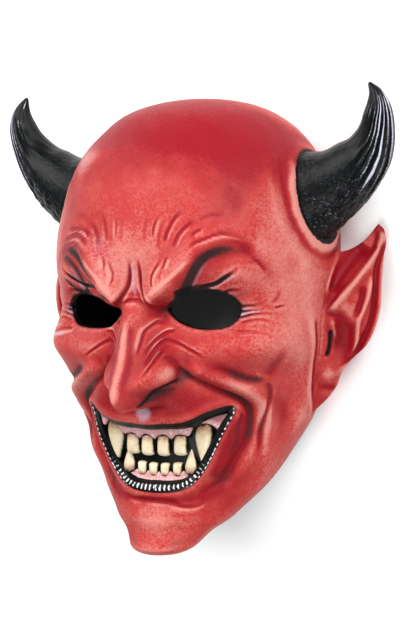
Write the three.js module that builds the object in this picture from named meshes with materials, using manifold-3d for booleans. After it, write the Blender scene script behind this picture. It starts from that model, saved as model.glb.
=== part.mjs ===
// A devil mask cast in latex as one hollow shell: face, crown, ears, horns and a toothy closed grin.
// It lies face up on the flat part of its back rim. X runs to the mask's own left ear,
// Y runs from the chin to the crown, Z runs from the rim out of the face. Sizes are millimetres.
import * as THREE from "three";
import { mergeVertices } from "three/addons/utils/BufferGeometryUtils.js";
import Module from "manifold-3d";

// The head: an egg that is cut open behind. Its sections are taken at heights above the eye line.
const HEAD_MIDDLE = -8.25;
const HEAD_HALF_HEIGHT = 139.75;
const SECTION_HEIGHT = [-148, -140, -125, -106, -82, -62, -30, 0, 30, 60, 90, 112, 124, 131.5];
const HALF_WIDTH = [0, 24, 37, 51, 63, 72, 80, 85, 88, 87, 80, 62, 43, 0];
const FRONT_DEPTH = [0, -6, -6.5, -7.5, -2, 5, 12, 18, 22, 18, 7, -10, -27, 0];
const WIDEST_DEPTH = [-10, -15, -27, -40, -50, -58, -65, -66, -66, -66, -66, -66, -66, -66];
const CHIN_POLE = { width: 72, depth: 60 };
const CROWN_POLE = { width: 142, depth: 122 };
const BACK_DEPTH = 80;
const RIM_DEPTH = -98;
const CHIN_RIM_COSINE = -0.1;
const RIM_LEAVES_GROUND = -0.3;
const WALL = 3;

// Where the part's own frame lies: the rim on the ground, the outline centred.
const EYE_LINE_Y = 6.1;

// How finely the shell is divided; the inner skin takes every second line.
const COLUMNS = 36;
const ROWS = 56;
const INNER_STEP = 2;

// The eye hole and the mouth, as points [across, up] on the left half.
const EYE_HOLE = [
  [16.8, 1.4], [24.5, 9], [33.5, 12], [43, 12.7], [52.5, 10.4], [59, 5.6], [61, 1.5],
  [57.5, -5.2], [50.5, -9.8], [42, -11.4], [33, -11.2], [25, -9.4], [19.3, -4.7],
];
const MOUTH = [
  [0, -110], [9, -109.8], [17, -108], [25, -102], [31, -92], [37, -82], [41.5, -73], [45, -63], [46, -57],
  [41, -58.5], [35, -61.5], [28, -65], [20, -67], [10, -67.5], [0, -68.5],
];
const MOUTH_RECESS = 9;
const LIP_HEIGHT = 2.4;
const LIP_WIDTH = 3.2;

// The folds of the left half: a path and the ridge (or, where height is negative, groove) along it.
const FOLDS = {
  brow: {
    path: [
      [8, 2], [12, 9], [20, 18], [30, 29], [37, 37], [46, 43], [56, 44], [65, 38], [71, 28], [72, 17],
    ],
    height: 8,
    left: 7.5,
    right: 5,
    fade: [0.06, 0.75],
  },
  frown: {
    path: [[8.5, 3], [6, 11], [5, 19], [6.5, 27], [8, 34]],
    height: -3.5,
    left: 2.5,
    fade: [0.05, 0.5],
  },
  cheekCrease: {
    path: [[25, -27], [33, -33], [43, -36], [54, -38], [66, -40], [74, -38]],
    height: -2.9,
    left: 2.8,
    right: 3.8,
    fade: [0.15, 0.3],
  },
  smileRoll: {
    path: [
      [26, -33], [36, -38.5], [47, -42], [56, -47], [62, -56], [63, -68], [60, -80], [54, -92], [46, -103],
    ],
    height: 6,
    left: 5,
    right: 7,
    fade: [0.1, 0.35],
  },
  smileGroove: {
    path: [
      [24, -37], [31, -42], [40, -46], [50, -50], [55.5, -56], [57, -63],
      [55.5, -72], [51, -82], [46, -92], [40, -101], [33, -107], [24, -111],
    ],
    height: -4.2,
    left: 3,
    right: 3.6,
    fade: [0.05, 0.25],
  },
  nostrilCrease: {
    path: [[20, -24], [25.5, -29], [27, -36], [25, -42], [19, -46]],
    height: -3,
    left: 2.2,
    fade: [0.3, 0.2],
  },
};
const CHIN_FOLD = {
  path: [[0, -113.5], [8, -115], [15, -119], [22, -124]],
  height: -2.6,
  left: 3,
  fade: [0, 0.3],
};

// The swellings and hollows of the left half: the middle, the reach across and up, and the height.
const MOUNDS = {
  eyeSocket: { at: [42, 2], size: [27, 19], height: -7.5, power: 3 },
  innerCorner: { at: [17, 1], size: [7, 8], height: -3.5 },
  outerCorner: { at: [63, 2], size: [8, 12], height: 3 },
  browKnot: { at: [12, 4], size: [7, 6], height: 3.5 },
  upperLid: { at: [60, 22], size: [12, 10], height: 3.5, turn: -30 },
  betweenBrows: { at: [0, 16], size: [9, 17], height: -3 },
  cheek: { at: [49, -22], size: [22, 14], height: 7, turn: -12, power: 2.6 },
  cheekbone: { at: [70, -14], size: [14, 16], height: 5.5 },
  cheekboneBall: { at: [68, -17], size: [13, 14], height: 4.5 },
  rollTop: { at: [61, -42], size: [9, 8], height: 3.5 },
  rollFoot: { at: [63, -74], size: [9, 12], height: -3 },
  hollowCheek: { at: [74, -62], size: [14, 26], height: -4, turn: 20 },
  upperLip: { at: [22, -56], size: [20, 10], height: 2 },
};
// What stands forward or back rather than swells: the chin, its point, the corner of the mouth.
const CHIN = { at: [0, -132], size: [17, 13], height: 4.5 };
const CHIN_POINT = { at: [0, -139], size: [18, 12], height: 3 };
const MOUTH_CORNER = { at: [49, -58], size: [10, 13], height: -7 };

// The nose: height and width of its ridge up the face, and how far the hooked tip hangs down.
const NOSE_HEIGHT_AT = [-57, -55, -52.5, -49, -45, -41, -33, -22, -14, -5.5, 4, 10];
const NOSE_HEIGHT = [0, 12, 24, 30, 33, 33.5, 29, 21, 16.5, 12, 3.5, 0];
const NOSE_WIDTH_AT = [-57, -50, -41, -30, -20, -8, 4, 10];
const NOSE_WIDTH = [7.5, 9, 12, 13, 11.5, 9, 8, 8];
const NOSE_ROUNDNESS = 1.9;
const NOSE_DROOP = 0.28;
const NOSTRIL_WING = { at: [17.5, -35], size: [7.5, 7.5], height: 10, power: 2.6 };
const WING_UNDERSIDE = [-48, -42];

// Teeth: across, up to the root, up to the biting edge, half width, 1 where it ends in a point.
const TEETH = [
  { across: 5.6, root: -74.5, edge: -87, half: 4.6, point: 0 },
  { across: 16.4, root: -74, edge: -86.5, half: 4.6, point: 0 },
  { across: 30.4, root: -68, edge: -91, half: 5.4, point: 1 },
  { across: 4.2, root: -99.5, edge: -91.5, half: 3.3, point: 0 },
  { across: 12.2, root: -99, edge: -91, half: 3.3, point: 0 },
  { across: 22.4, root: -97, edge: -83.5, half: 3.8, point: 1 },
];
const TOOTH_THICKNESS = 3.4;
const TOOTH_BURIED = 1.2;

// Horns: the middle line [across, up, out] and the radius along it, after the oval foot.
const HORN_FOOT = { up: 69, out: -62, halfUp: 27, halfOut: 22 };
const HORN_LINE = [
  [86, 71, -61.5], [99, 80, -60.3], [109.5, 88, -60.3], [117, 94.8, -60], [122.5, 103, -58.6],
  [125.6, 110.5, -56.5], [126.9, 118, -54.5], [126.6, 124.5, -53], [124.6, 130, -51.6], [121.3, 135.2, -50],
];
const HORN_RADIUS = [24.5, 20.6, 17.6, 14.8, 12.2, 10.2, 8.6, 6.4, 4, 0.8];
const HORN_POINT = [120.9, 135.7, -49.9];
const HORN_SIDES = 12;
const HORN_HOLLOW_RINGS = 7;

// Ears: a cupped leaf. Its outer edge is measured out from the head at heights above the eye line.
const EAR_EDGE_AT = [-64, -55, -46, -36, -30, -22, -12, 0, 16, 34, 46, 53];
const EAR_EDGE = [1.5, 8.5, 12.5, 14.5, 19, 27, 33, 35.7, 34.5, 33, 34.5, 33];
const EAR_ROOT_AT = [-64, -30, 0, 38];
const EAR_ROOT_DEPTH = [-73, -66, -60, -66];
const EAR_ROOT_SPAN = [-62, 36];
const EAR_TOP_SAG = 5;
const EAR_SWEEP = (35 * Math.PI) / 180;
const EAR_THICKNESS = 5;
const EAR_LINES = 8;
const EAR_ROWS = 14;
const EAR_RIM = { height: 3, width: 3 };
const EAR_RIM_GROOVE = { depth: 2, width: 3, inside: 6 };
const EAR_FOLDS = [
  { path: [[4, 1], [17, 17], [28, 38], [32, 50]], height: 4, left: 4, fade: [0.1, 0.1] },
  { path: [[24, 13], [23.5, -10], [19, -26], [9, -40]], height: 3.5, left: 3, fade: [0.2, 0.1] },
];
const EAR_MOUNDS = [
  { at: [10, 26], size: [9, 13], height: -4, turn: -20 },
  { at: [14, -12], size: [8, 15], height: -5 },
  { at: [6, -40], size: [6, 7], height: 3.5 },
];

const clamp = (x, low, high) => Math.min(high, Math.max(low, x));

// A smooth change from 0 at a to 1 at b.
function step(a, b, x) {
  const t = clamp((x - a) / (b - a), 0, 1);
  return t * t * (3 - 2 * t);
}

// A smooth curve through the values ys at the places xs.
function curve(xs, ys, x) {
  const last = xs.length - 1;
  const slope = (i) => {
    if (i === 0) return (ys[1] - ys[0]) / (xs[1] - xs[0]);
    if (i === last) return (ys[last] - ys[last - 1]) / (xs[last] - xs[last - 1]);
    const before = xs[i] - xs[i - 1];
    const after = xs[i + 1] - xs[i];
    const left = (ys[i] - ys[i - 1]) / before;
    const right = (ys[i + 1] - ys[i]) / after;
    return (left * after + right * before) / (before + after);
  };
  let i = 0;
  while (i < last - 1 && x > xs[i + 1]) i += 1;
  const h = xs[i + 1] - xs[i];
  const t = clamp((x - xs[i]) / h, 0, 1);
  const t2 = t * t;
  const t3 = t2 * t;
  return (
    (2 * t3 - 3 * t2 + 1) * ys[i] +
    (t3 - 2 * t2 + t) * h * slope(i) +
    (3 * t2 - 2 * t3) * ys[i + 1] +
    (t3 - t2) * h * slope(i + 1)
  );
}

// Each section as a share of the whole egg: half width, depth ahead of the widest place.
const SHARE = SECTION_HEIGHT.map((y) => (y - HEAD_MIDDLE) / HEAD_HALF_HEIGHT);
const ROUND = SHARE.map((e) => Math.sqrt(Math.max(1 - e * e, 1e-9)));
const WIDTH = HALF_WIDTH.map((w, i) => w / ROUND[i]);
const DEPTH = FRONT_DEPTH.map((f, i) => (f - WIDEST_DEPTH[i]) / ROUND[i]);
WIDTH[0] = CHIN_POLE.width;
DEPTH[0] = CHIN_POLE.depth;
WIDTH[WIDTH.length - 1] = CROWN_POLE.width;
DEPTH[DEPTH.length - 1] = CROWN_POLE.depth;

// The point of the bare egg in the direction [x, y, z] of a unit ball.
function egg([x, y, z]) {
  const depth = z > 0 ? curve(SHARE, DEPTH, y) : BACK_DEPTH;
  return new THREE.Vector3(
    curve(SHARE, WIDTH, y) * x,
    HEAD_MIDDLE + HEAD_HALF_HEIGHT * y,
    curve(SHARE, WIDEST_DEPTH, y) + depth * z,
  );
}

// The side of the bare egg: how far out it is at a height and depth.
function sideOf(y, z) {
  const share = (y - HEAD_MIDDLE) / HEAD_HALF_HEIGHT;
  const widest = curve(SHARE, WIDEST_DEPTH, share);
  const depth = z > widest ? curve(SHARE, DEPTH, share) : BACK_DEPTH;
  const out = (z - widest) / depth;
  return curve(SHARE, WIDTH, share) * Math.sqrt(Math.max(1 - share * share - out * out, 0));
}

// The front of the bare egg at a place across and up.
function frontOf(x, y) {
  const share = (y - HEAD_MIDDLE) / HEAD_HALF_HEIGHT;
  const across = x / curve(SHARE, WIDTH, share);
  const out = Math.sqrt(Math.max(1 - share * share - across * across, 0));
  return curve(SHARE, WIDEST_DEPTH, share) + curve(SHARE, DEPTH, share) * out;
}

// Where the shell ends: flat on the ground round the crown and ears, further forward along the jaw.
function rimCosine(turn) {
  const low = step(RIM_LEAVES_GROUND, -0.75, Math.sin(turn));
  const widest = curve(SHARE, WIDEST_DEPTH, Math.sin(turn) * 0.917);
  const flat = (RIM_DEPTH - widest) / BACK_DEPTH;
  return flat * (1 - low) + CHIN_RIM_COSINE * low;
}

// A square of lines [-1..1] spread over the ball from the middle of the face to the rim.
function direction(s, t) {
  const x = s * Math.sqrt(1 - (t * t) / 2);
  const y = t * Math.sqrt(1 - (s * s) / 2);
  const turn = Math.atan2(y, x);
  const bend = Math.acos(rimCosine(turn)) * Math.hypot(x, y);
  return [Math.sin(bend) * Math.cos(turn), Math.sin(bend) * Math.sin(turn), Math.cos(bend)];
}

// Packs the lines towards the features: w runs -1..1, middle is where they are closest.
function packed(w, middle, closeness) {
  return middle * (1 - w ** 4) + closeness * w + (1 - closeness) * w ** 5;
}

// The distance to a path, its sign by the side, and the share of the path's length reached there.
function nearest(path, x, y) {
  let best = { distance: Infinity, along: 0 };
  let run = 0;
  for (let i = 0; i < path.length - 1; i += 1) {
    const [ax, ay] = path[i];
    const dx = path[i + 1][0] - ax;
    const dy = path[i + 1][1] - ay;
    const length = Math.hypot(dx, dy);
    const t = clamp(((x - ax) * dx + (y - ay) * dy) / (length * length), 0, 1);
    const distance = Math.hypot(x - ax - t * dx, y - ay - t * dy);
    if (distance < best.distance) {
      const side = Math.sign(dx * (y - ay) - dy * (x - ax)) || 1;
      best = { distance, side, along: run + t * length };
    }
    run += length;
  }
  return { offset: best.distance * best.side, along: best.along / run };
}

// A ridge or groove along a path: a bell across it, with its own width on each side,
// fading in and out over the given shares of its length.
function stroke({ path, height, left, right = left, fade }, x, y) {
  const { offset, along } = nearest(path, x, y);
  const across = offset / (offset > 0 ? left : right);
  const start = fade[0] > 0 ? step(0, fade[0], along) : 1;
  const end = fade[1] > 0 ? step(1, 1 - fade[1], along) : 1;
  return height * Math.exp(-across * across) * start * end;
}

// A rounded swelling or hollow; power above 2 makes its top flatter and its side steeper.
function mound(x, y, { at, size, height, turn = 0, power = 2 }) {
  const angle = (turn * Math.PI) / 180;
  const dx = x - at[0];
  const dy = y - at[1];
  const u = (dx * Math.cos(angle) + dy * Math.sin(angle)) / size[0];
  const v = (dy * Math.cos(angle) - dx * Math.sin(angle)) / size[1];
  return height * Math.exp(-((u * u + v * v) ** (power / 2)));
}

// How far a point on the left half is inside the mouth, negative outside.
function insideMouth(x, y) {
  const shape = MOUTH;
  const { offset } = nearest(shape, x, y);
  let inside = false;
  for (let i = 0; i < shape.length; i += 1) {
    const [ax, ay] = shape[i];
    const [bx, by] = shape[(i + 1) % shape.length];
    if (ay > y !== by > y && x < ax + ((y - ay) / (by - ay)) * (bx - ax)) inside = !inside;
  }
  return inside ? Math.abs(offset) : -Math.abs(offset);
}

// The nose: its height out of the face, as a bell across with its own height and width up the face.
function noseAt(x, y, less = 0) {
  const height = Math.max(curve(NOSE_HEIGHT_AT, NOSE_HEIGHT, y) - less, 0);
  const width = curve(NOSE_WIDTH_AT, NOSE_WIDTH, y) - less;
  const bridge = height * Math.exp(-(Math.abs(x / width) ** NOSE_ROUNDNESS));
  const wing = mound(x, y, NOSTRIL_WING) * step(...WING_UNDERSIDE, y);
  return bridge + (less > 0 ? 0 : wing);
}

// The modelling of the face at a place across and up: how far it stands off the egg's own skin,
// how far it stands forward, and how much of that is the nose, whose tip hangs down.
function modelling(x, y, less = 0) {
  const ax = Math.abs(x);
  const within = insideMouth(ax, y);
  let swell = LIP_HEIGHT * Math.exp(-(((within + 1) / LIP_WIDTH) ** 2));
  for (const fold of Object.values(FOLDS)) swell += stroke(fold, ax, y);
  for (const hill of Object.values(MOUNDS)) swell += mound(ax, y, hill);
  const nose = noseAt(ax, y, less);
  let forward = nose - MOUTH_RECESS * step(0.5, 4, within) + stroke(CHIN_FOLD, ax, y);
  for (const hill of [CHIN, CHIN_POINT, MOUTH_CORNER]) forward += mound(ax, y, hill);
  return { swell, forward, nose };
}

// A mesh's triangles as a closed solid for joining and cutting, and back again.
const wasm = await Module();
wasm.setup();

function solidFrom(geometry) {
  const bare = geometry.clone();
  bare.deleteAttribute("normal");
  bare.deleteAttribute("uv");
  const merged = mergeVertices(bare, 1e-4);
  const vertProperties = new Float32Array(merged.attributes.position.array);
  const triVerts = new Uint32Array(merged.index.array);
  return new wasm.Manifold(new wasm.Mesh({ numProp: 3, vertProperties, triVerts }));
}

function geometryFrom(solid) {
  const { vertProperties, triVerts } = solid.getMesh();
  const geometry = new THREE.BufferGeometry();
  geometry.setAttribute("position", new THREE.BufferAttribute(vertProperties, 3));
  geometry.setIndex(new THREE.BufferAttribute(triVerts, 1));
  geometry.computeVertexNormals();
  return geometry;
}

// Collects points and faces of one closed skin.
class Skin {
  constructor() {
    this.points = [];
    this.faces = [];
  }

  add(point) {
    this.points.push(point.x, point.y, point.z);
    return this.points.length / 3 - 1;
  }

  triangle(a, b, c) {
    this.faces.push(a, b, c);
  }

  quad(a, b, c, d) {
    this.triangle(a, b, c);
    this.triangle(a, c, d);
  }

  // A quad split along its shorter diagonal, which follows the folds of the face.
  fold(a, b, c, d) {
    const at = (n) => new THREE.Vector3().fromArray(this.points, 3 * n);
    if (at(a).distanceTo(at(c)) <= at(b).distanceTo(at(d))) this.quad(a, b, c, d);
    else this.quad(b, c, d, a);
  }

  geometry() {
    const geometry = new THREE.BufferGeometry();
    geometry.setAttribute("position", new THREE.Float32BufferAttribute(this.points, 3));
    geometry.setIndex(this.faces);
    return geometry;
  }
}

// The shell: an outer skin with the face on it, an inner skin a wall's thickness inside it,
// and the flat strip of the rim between the two.
function shell() {
  const onRim = (j, i) => j === 0 || i === 0 || j === ROWS || i === COLUMNS;
  const lines = [];
  for (let j = 0; j <= ROWS; j += 1) {
    const t = packed((2 * j) / ROWS - 1, -0.155, 0.45);
    const row = [];
    for (let i = 0; i <= COLUMNS; i += 1) {
      const s = packed((2 * i) / COLUMNS - 1, 0, 0.5);
      const way = direction(s, t);
      row.push({ way, bare: egg(way) });
    }
    lines.push(row);
  }
  for (let j = 0; j <= ROWS; j += 1) {
    for (let i = 0; i <= COLUMNS; i += 1) {
      const here = lines[j][i];
      const right = lines[j][Math.min(i + 1, COLUMNS)].bare;
      const left = lines[j][Math.max(i - 1, 0)].bare;
      const above = lines[Math.min(j + 1, ROWS)][i].bare;
      const below = lines[Math.max(j - 1, 0)][i].bare;
      here.normal = right.clone().sub(left).cross(above.clone().sub(below)).normalize();
      here.front = step(-0.05, 0.25, here.way[2]);
      here.grounded = onRim(j, i) && here.way[1] > RIM_LEAVES_GROUND * Math.hypot(here.way[0], here.way[1]);
      here.outer = modelling(here.bare.x, here.bare.y);
      here.inner = modelling(here.bare.x, here.bare.y, WALL);
    }
  }
  // Each point is averaged with its four neighbours, so no fold breaks into teeth.
  const softened = (j, i) => {
    const soft = { swell: 0, forward: 0, nose: 0 };
    for (const [dj, di] of [[0, 0], [0, 1], [0, -1], [1, 0], [-1, 0]]) {
      const from = lines[clamp(j + dj, 0, ROWS)][clamp(i + di, 0, COLUMNS)].outer;
      const share = dj === di ? 0.5 : 0.125;
      for (const key of Object.keys(soft)) soft[key] += share * from[key];
    }
    return soft;
  };
  const moved = (place, { swell, forward, nose }, inset) => {
    const point = place.bare.clone().addScaledVector(place.normal, swell * place.front - inset);
    point.y -= NOSE_DROOP * nose * place.front;
    point.z += forward * place.front;
    point.z = place.grounded ? RIM_DEPTH : Math.max(point.z, RIM_DEPTH);
    return point;
  };
  const lowest = (j, i) => {
    const least = { swell: Infinity, forward: Infinity, nose: Infinity };
    for (let b = Math.max(j - 2, 0); b <= Math.min(j + 2, ROWS); b += 1) {
      for (let a = Math.max(i - 2, 0); a <= Math.min(i + 2, COLUMNS); a += 1) {
        for (const key of Object.keys(least)) least[key] = Math.min(least[key], lines[b][a].inner[key]);
      }
    }
    return least;
  };
  const skin = new Skin();
  const outer = lines.map((row, j) => row.map((place, i) => skin.add(moved(place, softened(j, i), 0))));
  const inner = lines.map((row, j) =>
    row.map((place, i) => {
      if (j % INNER_STEP || i % INNER_STEP) return -1;
      if (!onRim(j, i)) return skin.add(moved(place, lowest(j, i), WALL));
      const inward = new THREE.Vector3(place.normal.x, place.normal.y, 0).setLength(WALL);
      return skin.add(moved(place, softened(j, i), 0).sub(inward));
    }),
  );
  for (let j = 0; j < ROWS; j += 1) {
    for (let i = 0; i < COLUMNS; i += 1) {
      skin.fold(outer[j][i], outer[j][i + 1], outer[j + 1][i + 1], outer[j + 1][i]);
    }
  }
  for (let j = 0; j < ROWS; j += INNER_STEP) {
    for (let i = 0; i < COLUMNS; i += INNER_STEP) {
      const up = j + INNER_STEP;
      const on = i + INNER_STEP;
      skin.quad(inner[j][i], inner[up][i], inner[up][on], inner[j][on]);
    }
  }
  const edge = [];
  for (let i = 0; i < COLUMNS; i += 1) edge.push([0, i]);
  for (let j = 0; j < ROWS; j += 1) edge.push([j, COLUMNS]);
  for (let i = COLUMNS; i > 0; i -= 1) edge.push([ROWS, i]);
  for (let j = ROWS; j > 0; j -= 1) edge.push([j, 0]);
  for (let k = 0; k < edge.length; k += INNER_STEP) {
    const [a, b, c] = [0, 1, 2].map((n) => edge[(k + n) % edge.length]);
    const [outA, outB, outC] = [a, b, c].map(([j, i]) => outer[j][i]);
    const [inA, inC] = [a, c].map(([j, i]) => inner[j][i]);
    skin.triangle(outB, outA, inA);
    skin.triangle(outB, inA, inC);
    skin.triangle(outC, outB, inC);
  }
  return solidFrom(skin.geometry());
}

// A tube through rings of equal length, closed at both ends by a fan.
function tube(rings, startCentre, endCentre) {
  const skin = new Skin();
  const ids = rings.map((ring) => ring.map((point) => skin.add(point)));
  const sides = rings[0].length;
  const start = skin.add(startCentre);
  const end = skin.add(endCentre);
  for (let k = 0; k < sides; k += 1) {
    const next = (k + 1) % sides;
    skin.triangle(start, ids[0][next], ids[0][k]);
    for (let r = 0; r < ids.length - 1; r += 1) {
      skin.quad(ids[r][k], ids[r][next], ids[r + 1][next], ids[r + 1][k]);
    }
    const last = ids[ids.length - 1];
    skin.triangle(last[k], last[next], end);
  }
  return skin.geometry();
}

// One ring of a horn round its middle line; the first rings are oval like the foot.
function hornRing(n, radius) {
  const at = new THREE.Vector3(...HORN_LINE[n]);
  const before = new THREE.Vector3(...HORN_LINE[Math.max(n - 1, 0)]);
  const after = new THREE.Vector3(...HORN_LINE[Math.min(n + 1, HORN_LINE.length - 1)]);
  const along = after.sub(before).normalize();
  const out = new THREE.Vector3(0, 0, 1).addScaledVector(along, -along.z).normalize();
  const up = out.clone().cross(along);
  const oval = 1 - 0.1 * step(3, 0, n);
  return Array.from({ length: HORN_SIDES }, (_, k) => {
    const turn = (2 * Math.PI * k) / HORN_SIDES;
    return at
      .clone()
      .addScaledVector(up, radius * Math.cos(turn))
      .addScaledVector(out, radius * oval * Math.sin(turn));
  });
}

// The left horn: its foot lies in the middle of the wall, so the inside of the head stays clear.
function hornSolids() {
  const buried = WALL / 2;
  const footPoint = (share, turn) => {
    const y = HORN_FOOT.up + share * HORN_FOOT.halfUp * Math.cos(turn);
    const z = HORN_FOOT.out + share * HORN_FOOT.halfOut * Math.sin(turn);
    return new THREE.Vector3(sideOf(y, z) - buried, y, z);
  };
  const turns = Array.from({ length: HORN_SIDES }, (_, k) => (2 * Math.PI * k) / HORN_SIDES);
  const foot = turns.map((turn) => footPoint(1, turn));
  const rings = [foot];
  for (let n = 1; n < HORN_LINE.length; n += 1) rings.push(hornRing(n, HORN_RADIUS[n]));
  const outside = tube(rings, footPoint(0, 0), new THREE.Vector3(...HORN_POINT));
  const intoHead = new THREE.Vector3(-3 * WALL, 0, 0);
  const throat = turns.map((turn) => footPoint(1 - WALL / HORN_FOOT.halfOut, turn).add(intoHead));
  const hollow = [throat];
  for (let n = 1; n < HORN_HOLLOW_RINGS; n += 1) hollow.push(hornRing(n, HORN_RADIUS[n] - WALL));
  const end = new THREE.Vector3(...HORN_LINE[HORN_HOLLOW_RINGS]);
  const inside = tube(hollow, footPoint(0, 0).add(intoHead), end);
  return { outside: solidFrom(outside), inside: solidFrom(inside) };
}

// The relief of the ear's front: a curled outer edge, the groove inside it, the long fold from
// the tip down to the cheek, the ridge round the bowl, the bowl itself and the lobe.
function earRelief(out, up, edge) {
  const fromEdge = edge - out;
  const groove = (fromEdge - EAR_RIM_GROOVE.inside) / EAR_RIM_GROOVE.width;
  let height = EAR_RIM.height * Math.exp(-((fromEdge / EAR_RIM.width) ** 2));
  height -= EAR_RIM_GROOVE.depth * Math.exp(-(groove ** 2));
  for (const fold of EAR_FOLDS) height += stroke(fold, out, up);
  for (const hill of EAR_MOUNDS) height += mound(out, up, hill);
  return height;
}

// The left ear: a leaf with a front and a back, whose root lies in the middle of the wall.
function earSolid() {
  const place = (u, v, back) => {
    const edgeUp = EAR_EDGE_AT[0] + v * (EAR_EDGE_AT[EAR_EDGE_AT.length - 1] - EAR_EDGE_AT[0]);
    const edge = curve(EAR_EDGE_AT, EAR_EDGE, edgeUp);
    const rootUp = EAR_ROOT_SPAN[0] + v * (EAR_ROOT_SPAN[1] - EAR_ROOT_SPAN[0]);
    const out = edge * u;
    const up = rootUp + (edgeUp - rootUp) * u - EAR_TOP_SAG * 4 * u * (1 - u) * v ** 6;
    const rootDepth = curve(EAR_ROOT_AT, EAR_ROOT_DEPTH, up);
    const thin = 1 - 0.45 * u;
    const relief = earRelief(out, up, edge) * step(0, 0.12, u);
    const height = back ? -EAR_THICKNESS * thin : relief;
    const depth = rootDepth - out * Math.sin(EAR_SWEEP) + height * Math.cos(EAR_SWEEP);
    const side = sideOf(up, rootDepth) + out * Math.cos(EAR_SWEEP) + height * Math.sin(EAR_SWEEP);
    if (u === 0) return new THREE.Vector3(sideOf(up, depth) - WALL / 2, up, depth);
    return new THREE.Vector3(side, up, depth);
  };
  const skin = new Skin();
  const sheet = (back) =>
    Array.from({ length: EAR_ROWS + 1 }, (_, j) =>
      Array.from({ length: EAR_LINES + 1 }, (_, i) => skin.add(place(i / EAR_LINES, j / EAR_ROWS, back))),
    );
  const front = sheet(false);
  const rear = sheet(true);
  for (let j = 0; j < EAR_ROWS; j += 1) {
    for (let i = 0; i < EAR_LINES; i += 1) {
      skin.quad(front[j][i], front[j][i + 1], front[j + 1][i + 1], front[j + 1][i]);
      skin.quad(rear[j][i], rear[j + 1][i], rear[j + 1][i + 1], rear[j][i + 1]);
    }
    skin.quad(front[j][0], front[j + 1][0], rear[j + 1][0], rear[j][0]);
    skin.quad(front[j + 1][EAR_LINES], front[j][EAR_LINES], rear[j][EAR_LINES], rear[j + 1][EAR_LINES]);
  }
  for (let i = 0; i < EAR_LINES; i += 1) {
    skin.quad(front[0][i + 1], front[0][i], rear[0][i], rear[0][i + 1]);
    skin.quad(front[EAR_ROWS][i], front[EAR_ROWS][i + 1], rear[EAR_ROWS][i + 1], rear[EAR_ROWS][i]);
  }
  return solidFrom(skin.geometry());
}

// One tooth: a ball pressed into a rounded block, drawn to a point where it is a fang.
function toothSolid({ across, root, edge, half, point }, side) {
  const geometry = mergeVertices(new THREE.SphereGeometry(1, 8, 5).deleteAttribute("uv"), 1e-4);
  const position = geometry.attributes.position;
  const middle = (root + edge) / 2;
  const reach = Math.abs(root - edge) / 2;
  const floor = frontOf(across, middle) - MOUTH_RECESS;
  const press = (value) => Math.sign(value) * Math.abs(value) ** 0.6;
  for (let i = 0; i < position.count; i += 1) {
    const along = position.getY(i);
    const taper = 1 - point * 0.9 * step(-0.4, 1, along);
    const turned = Math.sign(edge - root);
    position.setXYZ(
      i,
      side * across + turned * half * taper * press(position.getX(i)),
      middle + turned * reach * along,
      floor + (position.getZ(i) > 0 ? TOOTH_THICKNESS : TOOTH_BURIED) * press(position.getZ(i)),
    );
  }
  return solidFrom(geometry);
}

const mirrorX = new THREE.Matrix4().makeScale(-1, 1, 1);
const mirrored = (solid) => solid.transform(mirrorX.elements);

// The eye hole's outline is carried straight through the wall.
function eyeCutter() {
  const outline = new THREE.CatmullRomCurve3(
    EYE_HOLE.map(([x, y]) => new THREE.Vector3(x, y, 0)),
    true,
  );
  const points = outline.getPoints(2 * EYE_HOLE.length).slice(0, -1);
  const shape = new THREE.Shape(points.map((p) => new THREE.Vector2(p.x, p.y)));
  const through = new THREE.ExtrudeGeometry(shape, { depth: 100, bevelEnabled: false });
  through.translate(0, 0, -60);
  return solidFrom(through);
}

function maskSolid() {
  const horn = hornSolids();
  const ear = earSolid();
  let mask = shell();
  mask = mask.add(ear).add(mirrored(ear));
  mask = mask.add(horn.outside).add(mirrored(horn.outside));
  mask = mask.subtract(horn.inside).subtract(mirrored(horn.inside));
  const eye = eyeCutter();
  mask = mask.subtract(eye).subtract(mirrored(eye));
  for (const tooth of TEETH) {
    mask = mask.add(toothSolid(tooth, 1)).add(toothSolid(tooth, -1));
  }
  // Tiny pockets between a tooth's root and the lip are filled: only the outermost surface is kept.
  const bodies = mask.decompose();
  return bodies.reduce((largest, body) => (body.volume() > largest.volume() ? body : largest));
}

const latex = new THREE.MeshStandardMaterial({ color: 0xd8484a, roughness: 0.55, metalness: 0 });
const mask = new THREE.Mesh(geometryFrom(maskSolid()), latex);
mask.name = "mask";
mask.position.set(0, EYE_LINE_Y, -RIM_DEPTH);

const part = new THREE.Group();
part.add(mask);

export default part;
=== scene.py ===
# %% [markdown]
# # A devil mask of painted latex
# The real thing is one hollow casting of rubber latex: a bald, grinning devil's face with horns and
# pointed ears, painted by hand and airbrush. It is cut open behind, so here it lies face up on its
# back rim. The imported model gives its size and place, and everything below is laid over it.

# %% The shared frame
import math

import bmesh
import bpy
import numpy as np
from mathutils import Matrix, Vector


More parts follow.
